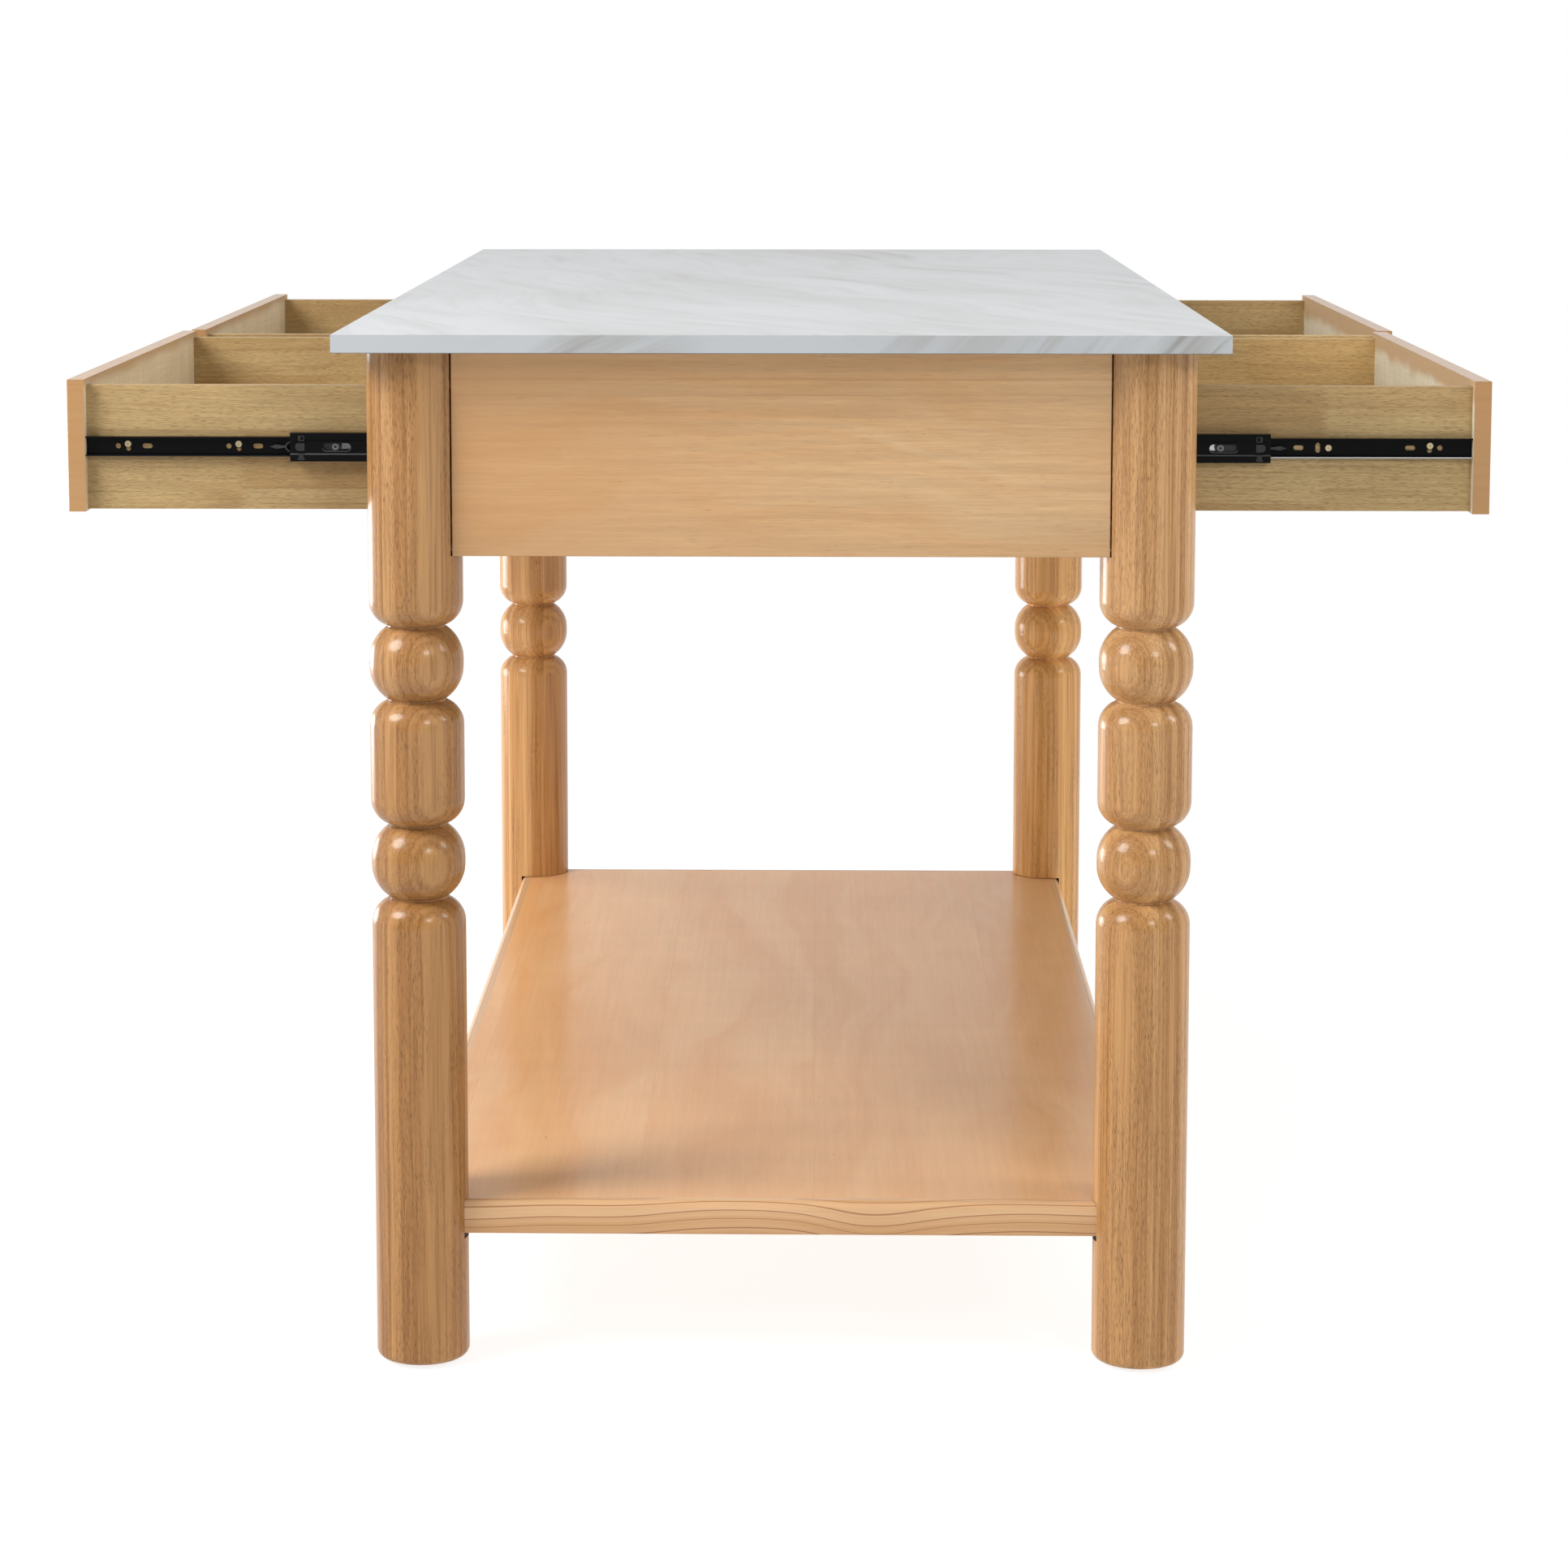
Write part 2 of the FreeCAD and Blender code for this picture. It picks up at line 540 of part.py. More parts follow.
def turned_leg():
    """Long post with a rounded foot, ball, barrel, ball and a plain head, parted by narrow necks."""
    heel = vec(LEG_R - FOOT_ROUND, 0, GLIDE_THICK)
    turn = FOOT_ROUND * (1 - math.sqrt(0.5))
    body_z = GLIDE_THICK + FOOT_ROUND
    edges = [
        line(vec(0, 0, GLIDE_THICK), heel),
        Part.Arc(heel, vec(LEG_R - turn, 0, GLIDE_THICK + turn), vec(LEG_R, 0, body_z)).toShape(),
    ]
    ball_rise = (GROOVE_Z[1] - GROOVE_Z[0] - NECK_LAND - BALL_LAND) / 2
    rises = (SHOULDER_RISE, ball_rise)
    for number, groove in enumerate(GROOVE_Z):
        below, above = rises if number % 2 == 0 else rises[::-1]
        neck_low = groove - NECK_LAND / 2
        neck_high = groove + NECK_LAND / 2
        edges += [
            line(vec(LEG_R, 0, body_z), vec(LEG_R, 0, neck_low - below)),
            shoulder(neck_low - below, neck_low),
            line(vec(NECK_R, 0, neck_low), vec(NECK_R, 0, neck_high)),
            shoulder(neck_high + above, neck_high),
        ]
        body_z = neck_high + above
    head = [vec(LEG_R, 0, body_z), vec(LEG_R, 0, TOP_LOW), vec(0, 0, TOP_LOW), vec(0, 0, GLIDE_THICK)]
    edges += [line(start, stop) for start, stop in zip(head, head[1:])]
    return Part.Face(Part.Wire(edges)).revolve(vec(0, 0, 0), Z_AXIS, 360)


leg = turned_leg()
reach = 2 * LEG_R
for side_name, side in SIDES.items():
    for end_name, end in ENDS.items():
        piece = leg.translated(vec(side * LEG_X, end * LEG_Y, 0))
        cutters = [
            block((side * FLAT_X, end * (LEG_Y - reach), APRON_BOTTOM),
                  (side * (FLAT_X - reach), end * (LEG_Y + reach), TOP_LOW)),
            block((side * (LEG_X - reach), end * FLAT_Y, APRON_BOTTOM),
                  (side * (LEG_X + reach), end * (FLAT_Y - reach), TOP_LOW)),
            block((side * (LEG_X - reach), end * (LEG_Y - reach), SHELF_LOW - NOTCH_BELOW),
                  (side * (SHELF_X + NOTCH_PLAY), end * (SHELF_Y + NOTCH_PLAY), SHELF_TOP + NOTCH_PLAY)),
        ]
        for cutter in cutters:
            piece = piece.cut(cutter)
        parts[f"leg_{end_name}_{side_name}"] = drilled(piece, carcass_fixings)


# Apron: end panels between leg flats, rails over and under the drawers, and cross boards
# whose ends stand between the rails as the stiles beside the drawer fronts.
def cross_board(low_y, high_y):
    body = block((-RAIL_IN, low_y, APRON_BOTTOM), (RAIL_IN, high_y, TOP_LOW))
    stiles = block((-RAIL_OUT, low_y, LOW_RAIL_HIGH), (RAIL_OUT, high_y, TOP_RAIL_LOW))
    return drilled(body.fuse(stiles).removeSplitter(), carcass_fixings)


for end_name, end in ENDS.items():
    half_width = FLAT_X - PANEL_SEAM
    panel = block((-half_width, end * PANEL_IN, APRON_BOTTOM), (half_width, end * PANEL_OUT, TOP_LOW))
    panel = eased(panel, EDGE_ROUND, lambda middle, length:
                  end * middle.y > PANEL_OUT - TOUCH and middle.z < TOP_LOW - TOUCH)
    parts[f"end_panel_{end_name}"] = drilled(panel, carcass_fixings)
    parts[f"runner_board_{end_name}"] = cross_board(*sorted((end * RUNNER_BOARD_INNER, end * FLAT_Y)))
parts["centre_partition"] = cross_board(-PARTITION_FACE, PARTITION_FACE)
for side_name, side in SIDES.items():
    for rail, low, high in (("top", TOP_RAIL_LOW, TOP_LOW), ("bottom", APRON_BOTTOM, LOW_RAIL_HIGH)):
        board = block((side * RAIL_IN, -FLAT_Y, low), (side * RAIL_OUT, FLAT_Y, high))
        board = eased(board, EDGE_ROUND, lambda middle, length:
                      side * middle.x > RAIL_OUT - TOUCH and length > FLAT_Y)
        parts[f"{rail}_rail_{side_name}"] = drilled(board, carcass_fixings)


# Shelf: a veneered panel with solid lippings, resting on pads in the leg notches.
def lipping(start, along, outward):
    """A strip with a rounded top outer edge and a lightly rounded lower one."""
    def at(across, z):
        return start + outward * across + vec(0, 0, z)

    def rounded(radius, low):
        """The three points of a corner arc at the strip's outer edge."""
        turn = radius * (1 - math.sqrt(0.5))
        level = turn if low else SHELF_THICK - turn
        start_z, end_z = (0, radius) if low else (SHELF_THICK, SHELF_THICK - radius)
        corner = [(radius, start_z), (turn, level), (0, end_z)]
        return [at(LIPPING_WIDTH - inset, z) for inset, z in corner]

    low = rounded(LIPPING_LOW_ROUND, True)
    high = rounded(LIPPING_TOP_ROUND, False)
    edges = [
        line(at(0, 0), low[0]),
        Part.Arc(*low).toShape(),
        line(low[2], high[2]),
        Part.Arc(*reversed(high)).toShape(),
        line(high[0], at(0, SHELF_THICK)),
        line(at(0, SHELF_THICK), at(0, 0)),
    ]
    return Part.Face(Part.Wire(edges)).extrude(along)


panel_x = SHELF_X - LIPPING_WIDTH
panel_y = SHELF_Y - LIPPING_WIDTH
parts["shelf_panel"] = block((-panel_x, -panel_y, SHELF_LOW), (panel_x, panel_y, SHELF_TOP))
side_strips = [lipping(vec(side * panel_x, -SHELF_Y, SHELF_LOW), vec(0, 2 * SHELF_Y, 0), vec(side, 0, 0))
               for side in SIDES.values()]
end_strips = [lipping(vec(-panel_x, end * panel_y, SHELF_LOW), vec(2 * panel_x, 0, 0), vec(0, end, 0))
              for end in ENDS.values()]
parts["shelf_lippings"] = group(side_strips + end_strips)

pads = []
glides = []
for side in SIDES.values():
    for end in ENDS.values():
        low = SHELF_LOW - NOTCH_BELOW
        disc = Part.makeCylinder(LEG_R - PAD_INSET, NOTCH_BELOW, vec(side * LEG_X, end * LEG_Y, low))
        corner = (side * (LEG_X + PAD_PAST_AXIS), end * (LEG_Y + PAD_PAST_AXIS), low)
        opposite = (side * (LEG_X - LEG_R), end * (LEG_Y - LEG_R), SHELF_LOW)
        pads.append(disc.common(block(corner, opposite)))
        glides.append(Part.makeCylinder(GLIDE_R, GLIDE_THICK, vec(side * LEG_X, end * LEG_Y, 0)))
parts["shelf_pads"] = group(pads)
parts["foot_glides"] = group(glides)

slab = block((-TOP_WIDTH / 2, -TOP_LENGTH / 2, TOP_LOW), (TOP_WIDTH / 2, TOP_LENGTH / 2, HEIGHT))
slab = eased(slab, TOP_ARRIS, lambda middle, length: middle.z > HEIGHT - TOUCH)
parts["top_slab"] = drilled(slab, carcass_fixings)
parts["angle_brackets"] = group(brackets)
parts["bracket_screws"] = group(screw.solid for screw in bracket_screws)
parts["leg_bolts"] = group(bolt.solid for bolt in bolts)
parts["wood_dowels"] = group(dowel.solid for dowel in dowels)

os.makedirs("parts", exist_ok=True)
for name, shape in parts.items():
    shape.exportStep(f"parts/{name}.step")
print(len(parts), "nodes,", sum(len(shape.Solids) for shape in parts.values()), "solids")
for name, shape in parts.items():
    if not shape.isValid():
        print("not valid:", name)
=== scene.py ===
import math

import bmesh
import bpy
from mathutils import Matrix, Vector


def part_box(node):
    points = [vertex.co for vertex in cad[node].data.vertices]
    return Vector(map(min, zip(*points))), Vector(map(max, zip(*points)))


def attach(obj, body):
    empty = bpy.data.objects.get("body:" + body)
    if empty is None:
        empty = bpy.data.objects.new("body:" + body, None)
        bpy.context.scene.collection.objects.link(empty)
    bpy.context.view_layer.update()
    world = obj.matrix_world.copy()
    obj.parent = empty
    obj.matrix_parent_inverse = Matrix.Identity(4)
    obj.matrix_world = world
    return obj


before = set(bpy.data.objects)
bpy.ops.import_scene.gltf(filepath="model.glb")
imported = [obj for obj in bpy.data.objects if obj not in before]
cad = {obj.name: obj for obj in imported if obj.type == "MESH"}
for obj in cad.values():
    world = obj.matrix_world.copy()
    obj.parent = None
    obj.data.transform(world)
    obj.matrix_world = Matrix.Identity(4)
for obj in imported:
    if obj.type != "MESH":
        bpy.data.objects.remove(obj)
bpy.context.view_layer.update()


# Legs: four posts turned from glued-up rubberwood blanks, two balls and a barrel between narrow
# necks, sanded smooth and sprayed with clear satin lacquer. Bolts and dowels hold the apron to them.
class Value:
    """A socket of a finish. Arithmetic on it adds Math nodes to that finish."""

    def __init__(self, finish, socket):
        self.finish = finish
        self.socket = socket

    def out(self, name):
        """Another output of the same node."""
        return Value(self.finish, self.socket.node.outputs[name])

    def __add__(self, other):
        return self.finish.math("ADD", self, other)

    def __radd__(self, other):
        return self.finish.math("ADD", other, self)

    def __sub__(self, other):
        return self.finish.math("SUBTRACT", self, other)

    def __rsub__(self, other):
        return self.finish.math("SUBTRACT", other, self)

    def __mul__(self, other):
        return self.finish.math("MULTIPLY", self, other)

    def __rmul__(self, other):
        return self.finish.math("MULTIPLY", other, self)

    def __truediv__(self, other):
        return self.finish.math("DIVIDE", self, other)

    def __pow__(self, other):
        return self.finish.math("POWER", self, other)

    def __abs__(self):
        return self.finish.math("ABSOLUTE", self)


class Shading:
    """The nodes of a material or of the room's light."""

    def __init__(self, owner):
        owner.use_nodes = True
        self.owner = owner
        self.tree = owner.node_tree

    def feed(self, socket, value):
        """Links a value to a socket, or sets the socket to a plain number or colour."""
        if isinstance(value, Value):
            self.tree.links.new(value.socket, socket)
        else:
            socket.default_value = value

    def node(self, kind, settings, sockets, output=0):
        """A node of that kind, its settings first and then its sockets, as one of its outputs."""
        made = self.tree.nodes.new("ShaderNode" + kind)
        for name, value in settings.items():
            setattr(made, name, value)
        for name, value in sockets.items():
            self.feed(made.inputs[name], value)
        return Value(self, made.outputs[output])

    def math(self, operation, *values):
        return self.node("Math", {"operation": operation}, dict(enumerate(values)))

    def mix(self, share, first, second, blend="MIX"):
        """Two colours; a plain value counts as a grey. A Mix node has its colours at 6, 7 and 2."""
        settings = {"data_type": "RGBA", "blend_type": blend, "clamp_factor": True}
        return self.node("Mix", settings, {0: share, 6: first, 7: second}, output=2)

    def step(self, value, low, high):
        """0 below low, 1 above high, and a smooth rise between."""
        sockets = {"Value": value, "From Min": low, "From Max": high}
        return self.node("MapRange", {"interpolation_type": "SMOOTHSTEP"}, sockets)

    def point(self):
        """Where the surface is on the object at rest, in metres."""
        place = self.node("TexCoord", {}, {}, output="Object")
        split = self.node("SeparateXYZ", {}, {"Vector": place})
        return split.out("X"), split.out("Y"), split.out("Z")

    def noise(self, x, y, z, detail=2.0, roughness=0.5):
        """Noise in space, from 0 to 1 and about 0.5 on average."""
        vector = self.node("CombineXYZ", {}, {"X": x, "Y": y, "Z": z})
        sockets = {"Vector": vector, "Scale": 1.0, "Detail": detail, "Roughness": roughness}
        return self.node("TexNoise", {}, sockets)

    def noise_line(self, along, detail=2.0):
        """Noise along one line, which also draws a number for each step of a count."""
        sockets = {"W": along, "Scale": 1.0, "Detail": detail}
        return self.node("TexNoise", {"noise_dimensions": "1D"}, sockets)


class Finish(Shading):
    """A material; what is the same all over a surface is set on the shader's own sockets."""

    def __init__(self, name, **shader):
        super().__init__(bpy.data.materials.new(name))
        self.shader = self.tree.nodes["Principled BSDF"]
        for socket, value in shader.items():
            self.shader.inputs[socket.replace("_", " ")].default_value = value

    def cover(self, colour, roughness, height, relief):
        """Colour and roughness over the surface, and its fine relief in metres."""
        self.feed(self.shader.inputs["Base Color"], colour)
        self.feed(self.shader.inputs["Roughness"], roughness)
        bump = self.node("Bump", {}, {"Strength": 1.0, "Distance": relief, "Height": height})
        self.feed(self.shader.inputs["Normal"], bump)


def dress(node, *finishes, choose=None):
    """Gives a CAD node its finishes; choose picks the finish of a face by number."""
    mesh = cad[node].data
    mesh.materials.clear()
    for finish in finishes:
        mesh.materials.append(finish.owner)
    if choose:
        for face in mesh.polygons:
            face.material_index = choose(face)


RING_WANDER = 0.014


def rubberwood(finish, along, across, depth, pith, tones, ring=0.0030, open_grain=0.36):
    """Colour and height of rubberwood: rings round a pith line, streaks, and pores as dashes."""
    def grain(lengthways, crossways, detail=2.0):
        """Noise drawn out along the grain, in waves per metre each way."""
        return finish.noise(along * lengthways, across * crossways, depth * crossways, detail)

    pale, warm, late_wood, pore = tones
    wander = grain(2.5, 12) - 0.5
    from_pith = ((across - pith[0]) ** 2 + (depth - pith[1]) ** 2) ** 0.5 + wander * RING_WANDER
    bands = finish.step(finish.noise_line(from_pith * 75, detail=3.0), 0.28, 0.72)
    season = finish.math("FRACT", from_pith / ring + finish.noise_line(from_pith * 28) * 2.0)
    strong = finish.step(finish.noise_line(from_pith * 45 + 9.0), 0.30, 0.70)
    line = season ** 3.0 * (1.0 - finish.step(season, 0.86, 1.0)) * strong
    streak = finish.step(grain(6, 290, detail=3.0), 0.48, 0.72)
    fibre = grain(16, 750)
    porous = finish.step(grain(6, 40) + bands * 0.25, open_grain, open_grain + 0.3)
    pitted = finish.step(grain(150, 2500, detail=0.0), 0.58, 0.76) * porous
    colour = finish.mix(bands, pale, warm)
    colour = finish.mix(line * 0.60, colour, late_wood)
    colour = finish.mix(streak * 0.38, colour, late_wood)
    colour = finish.mix(1.0, colour, 0.72 + fibre * 0.56, "MULTIPLY")
    colour = finish.mix(pitted * 0.66, colour, pore)
    return colour, fibre * 0.3 - pitted


LEG_TONES = (
    (0.66, 0.364, 0.154, 1.0),
    (0.46, 0.218, 0.074, 1.0),
    (0.23, 0.086, 0.024, 1.0),
    (0.15, 0.056, 0.018, 1.0),
)
# Per-leg colour factor: partly each leg's own tone, partly painted light that brightens the far legs
# where they stand in shade under the worktop.
LEG_TONE_AND_PAINTED_LIGHT = {
    "near_left": (0.700, 0.670, 0.615, 1.0), "near_right": (0.900, 0.935, 0.960, 1.0),
    "far_left": (1.10, 1.13, 1.15, 1.0), "far_right": (1.36, 1.45, 1.41, 1.0),
}
LEG_PITH = {
    "near_left": (0.052, -0.078), "near_right": (-0.046, -0.083),
    "far_left": (0.060, -0.065), "far_right": (-0.030, -0.080),
}
LEG_RING = {"near_left": 0.0075, "near_right": 0.0030, "far_left": 0.0045, "far_right": 0.0045}
LEG_OPEN_GRAIN = {"near_left": 0.37, "near_right": 0.36, "far_left": 0.54, "far_right": 0.48}
LEG_GLUE_LINE = {
    "near_left": -0.0255, "near_right": 0.0110, "far_left": 0.0140, "far_right": -0.0180,
}
GLUE_LINE_WIDTH = 0.0006
NEXT_STAVE_ALONG = 0.7
NEXT_STAVE_ACROSS = 0.013
# Painted light along each leg: darker and warmer towards the foot, lighter and cooler towards the
# top.
LEG_PAINTED_LOW_SHADE = (0.950, 0.925, 0.860, 1.0)
LEG_PAINTED_HIGH_LIGHT = (1.040, 1.090, 1.170, 1.0)
LEG_PAINTED_LIGHT_LEVELS = (0.30, 0.80)
LEG_RELIEF = 0.00012
LACQUER = {"Coat_Weight": 0.50, "Coat_Roughness": 0.19, "Specular_IOR_Level": 0.05}
for leg, pith in LEG_PITH.items():
    low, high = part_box("leg_" + leg)
    axis = (low + high) / 2
    wood = Finish("leg_wood_" + leg, **LACQUER)
    x, y, z = wood.point()
    across = x - axis.x
    glued = wood.math("GREATER_THAN", across, LEG_GLUE_LINE[leg])
    colour, height = rubberwood(
        wood, z + glued * NEXT_STAVE_ALONG, across + glued * NEXT_STAVE_ACROSS, y - axis.y,
        pith, LEG_TONES, LEG_RING[leg], LEG_OPEN_GRAIN[leg])
    seam = 1.0 - wood.step(abs(across - LEG_GLUE_LINE[leg]), 0.0, GLUE_LINE_WIDTH)
    colour = wood.mix(seam * 0.35, colour, LEG_TONES[2])
    # Painted light: each leg's own factor, lifting the far legs out of the shade under the worktop.
    colour = wood.mix(1.0, colour, LEG_TONE_AND_PAINTED_LIGHT[leg], "MULTIPLY")
    # Painted light: darker and warmer low on the leg, lighter and cooler high up.
    painted_height_light = wood.mix(wood.step(z, *LEG_PAINTED_LIGHT_LEVELS), LEG_PAINTED_LOW_SHADE, LEG_PAINTED_HIGH_LIGHT)
    colour = wood.mix(1.0, colour, painted_height_light, "MULTIPLY")
    wood.cover(colour, 0.36 + height * 0.10, height, LEG_RELIEF)
    dress("leg_" + leg, wood)


# Foot glides and shelf pads: turned discs of black plastic under the feet, and small rubber blocks
# in the leg notches that the shelf rests on.
MOULD_TEXTURE = 0.00004


def moulded(name, colour, roughness, grain):
    """Moulded plastic or rubber with a fine even texture."""
    finish = Finish(name)
    x, y, z = finish.point()
    texture = finish.noise(x * grain, y * grain, z * grain, detail=3.0)
    tone = finish.mix(1.0, colour, 0.7 + texture * 0.6, "MULTIPLY")
    finish.cover(tone, roughness - 0.1 + texture * 0.2, texture, MOULD_TEXTURE)
    return finish


dress("foot_glides", moulded("glide_plastic", (0.015, 0.014, 0.013, 1.0), 0.5, 900))
dress("shelf_pads", moulded("pad_rubber", (0.012, 0.011, 0.010, 1.0), 0.75, 1400))


# End panels: veneered boards let in between the leg flats, grain running across the island. The
# peach-toned veneer is sanded finer than the solid wood and has the same clear satin lacquer.
def veneer(finish, along, across, tones, lines=(), figure=1.0):
    """Colour and height of smooth veneer: soft flames, fine fibres, specks and growth lines."""
    pale, peach, fine = tones
    drift = finish.noise(along * 3.0, across * 7.0, 0.0) - 0.5
    flame = finish.noise(along * 2.2, across * 22 + drift * 5.0, 3.0, detail=4.0)
    strands = finish.noise(along * 6, across * 190, 5.0, detail=3.0)
    fibre = finish.noise(along * 32, across * 1000, 7.0, detail=2.0)
    fleck = finish.step(finish.noise(along * 60, across * 1100, 8.0, detail=1.0), 0.60, 0.74)
    speck = finish.step(finish.noise(along * 70, across * 240, 9.0, detail=1.0), 0.76, 0.80)
    colour = finish.mix(finish.step(flame, 0.30, 0.72), pale, peach)
    colour = finish.mix(1.0, colour, 1.0 + (strands - 0.5) * 0.42 * figure, "MULTIPLY")
    colour = finish.mix(1.0, colour, 1.0 + (fibre - 0.5) * 0.34 * figure, "MULTIPLY")
    colour = finish.mix(fleck * 0.30 * figure, colour, fine)
    for place, wide, strength in lines:
        near_line = 1.0 - finish.step(abs(across - place - drift * 0.008), 0.0, wide)
        colour = finish.mix(near_line * strength, colour, fine)
    colour = finish.mix(speck * 0.45, colour, fine)
    return colour, fibre * 0.5 + strands * 0.3


PANEL_TONES = ((0.590, 0.388, 0.211, 1.0), (0.561, 0.326, 0.152, 1.0), (0.33, 0.150, 0.056, 1.0))
PANEL_RICH_TONE = (0.525, 0.275, 0.115, 1.0)
PANEL_RICH_REACH = (-0.34, 0.16)
# Painted light and shade: the panel is darkened towards its foot and lightened just under the
# worktop's overhang, where shade falls.
PANEL_PAINTED_SHADE_RISE = (0.715, 0.800)
PANEL_PAINTED_LIGHT_RISE = (0.845, 0.895)
PANEL_GROWTH_LINES = ((0.873, 0.0022, 0.30), (0.8595, 0.0016, 0.18), (0.792, 0.0020, 0.10))
PANEL_RELIEF = 0.00005
for end in ("near", "far"):
    face = Finish(f"end_panel_veneer_{end}", **LACQUER)
    x, y, z = face.point()
    colour, height = veneer(face, x, z, PANEL_TONES, PANEL_GROWTH_LINES)
    richer = 1.0 - face.step(x, *PANEL_RICH_REACH)
    colour = face.mix(richer * 0.6, colour, PANEL_RICH_TONE)
    # Painted shade towards the panel's foot and painted light under the worktop's overhang.
    painted_light_by_height = face.step(z, *PANEL_PAINTED_SHADE_RISE) * 0.09 + face.step(z, *PANEL_PAINTED_LIGHT_RISE) * 0.16
    colour = face.mix(1.0, colour, 0.91 + painted_light_by_height, "MULTIPLY")
    face.cover(colour, 0.40 + height * 0.06, height, PANEL_RELIEF)
    dress(f"end_panel_{end}", face)


# Rails: solid rubberwood over and under the drawers on each long side, dowelled between the legs
# and lacquered like them, grain along the island.
RAIL_TONES = (
    (0.57, 0.345, 0.170, 1.0),
    (0.50, 0.275, 0.120, 1.0),
    (0.35, 0.160, 0.060, 1.0),
    (0.25, 0.110, 0.042, 1.0),
)
RAIL_PITH_OUT = 0.30
RAIL_PITH_BELOW = 0.07
RAIL_RELIEF = 0.00010
for side, toward in (("left", -1), ("right", 1)):
    for rail, level in (("top", 0.88), ("bottom", 0.73)):
        wood = Finish(f"{rail}_rail_wood_{side}", **LACQUER)
        x, y, z = wood.point()
        pith = (toward * RAIL_PITH_OUT, level - RAIL_PITH_BELOW)
        colour, height = rubberwood(wood, y, x, z, pith, RAIL_TONES)
        wood.cover(colour, 0.38 + height * 0.08, height, RAIL_RELIEF)
        dress(f"{rail}_rail_{side}", wood)


# Runner boards and centre partition: edge-glued rubberwood cross boards that carry the runners,
# left unlacquered inside. Their ends stand between the rails as the stiles beside the fronts.
BOARD_TONES = (
    (0.50, 0.350, 0.175, 1.0),
    (0.43, 0.275, 0.120, 1.0),
    (0.33, 0.185, 0.075, 1.0),
    (0.23, 0.120, 0.048, 1.0),
)
BOARD_STRIP = 0.048
BOARD_BLOCK = 0.26
BOARD_START = 0.02
BOARD_RELIEF = 0.00014
BOARD_PITH = (0.0, 0.085)
FINGER_PITCH = 0.0022
FINGER_SLOPE = 3.6
JOINT_WIDTH = 0.0008


def glued_board(finish, along, up, depth, strip, block, start, seed, tones=BOARD_TONES):
    """Colour and height of a board glued up from finger-jointed strips of rubberwood.

    The odd factors keep the draws for one block apart from those for the next.
    """
    row = finish.math("FLOOR", (up + start) / strip)
    tooth = finish.math("PINGPONG", up, FINGER_PITCH) * FINGER_SLOPE
    place = (along + tooth) / block + finish.noise_line(row * 17.0 + seed) * 6.0
    piece = finish.math("FLOOR", place) * 3.7 + row * 5.3 + seed
    shade = finish.noise_line(piece * 2.9 + 0.4)
    pith_up = up - row * strip + finish.noise_line(piece * 4.1) * 0.20 - 0.16
    tilt = (finish.noise_line(piece * 3.3 + 2.0) - 0.5) * 0.20
    colour, height = rubberwood(
        finish, along + piece * 0.31, pith_up + along * tilt, depth + piece * 0.02,
        BOARD_PITH, tones, ring=0.006, open_grain=0.12)
    colour = finish.mix(1.0, colour, 0.84 + shade * 0.32, "MULTIPLY")
    joint = finish.math("FRACT", place)
    seam = 1.0 - finish.step(finish.math("PINGPONG", joint, 0.5) * block, 0.0, JOINT_WIDTH)
    edge = finish.math("FRACT", (up + start) / strip)
    glue = 1.0 - finish.step(finish.math("PINGPONG", edge, 0.5) * strip, 0.0, GLUE_LINE_WIDTH)
    colour = finish.mix(seam * 0.40 + glue * 0.22, colour, tones[2])
    return colour, height


for number, board in enumerate(("runner_board_near", "runner_board_far", "centre_partition")):
    wood = Finish(board + "_wood", Specular_IOR_Level=0.3)
    x, y, z = wood.point()
    seed = 3.0 + number * 11.0
    colour, height = glued_board(wood, x, z, y, BOARD_STRIP, BOARD_BLOCK, BOARD_START, seed)
    wood.cover(colour, 0.58 + height * 0.1, height, BOARD_RELIEF)
    dress(board, wood)


# Fixings of the carcass: pressed steel angle brackets and their screws, leg bolts, all zinc plated,
# and beech dowels glued into the rail and panel ends.
PLATE_RELIEF = 0.00002


def plated(name, colour, roughness, grain=300):
    """Plated metal with a faintly clouded surface."""
    finish = Finish(name, Metallic=1.0)
    x, y, z = finish.point()
    cloud = finish.noise(x * grain, y * grain, z * grain, detail=4.0)
    tone = finish.mix(1.0, colour, 0.75 + cloud * 0.5, "MULTIPLY")
    finish.cover(tone, roughness - 0.08 + cloud * 0.16, cloud, PLATE_RELIEF)
    return finish


zinc = plated("zinc_plate", (0.55, 0.56, 0.57, 1.0), 0.38)
yellow_zinc = plated("yellow_zinc_plate", (0.62, 0.50, 0.28, 1.0), 0.34)
dress("angle_brackets", zinc)
dress("bracket_screws", zinc)
dress("leg_bolts", zinc)
dress("runner_screws", yellow_zinc)

BEECH_TONES = ((0.56, 0.42, 0.26, 1.0), (0.44, 0.30, 0.17, 1.0))
DOWEL_RELIEF = 0.00010
dowel = Finish("dowel_wood", Specular_IOR_Level=0.3)
x, y, z = dowel.point()
flutes = dowel.noise(x * 500, y * 500, z * 500)
dowel.cover(dowel.mix(flutes, *BEECH_TONES), 0.6 + flutes * 0.1, flutes, DOWEL_RELIEF)
dress("wood_dowels", dowel)


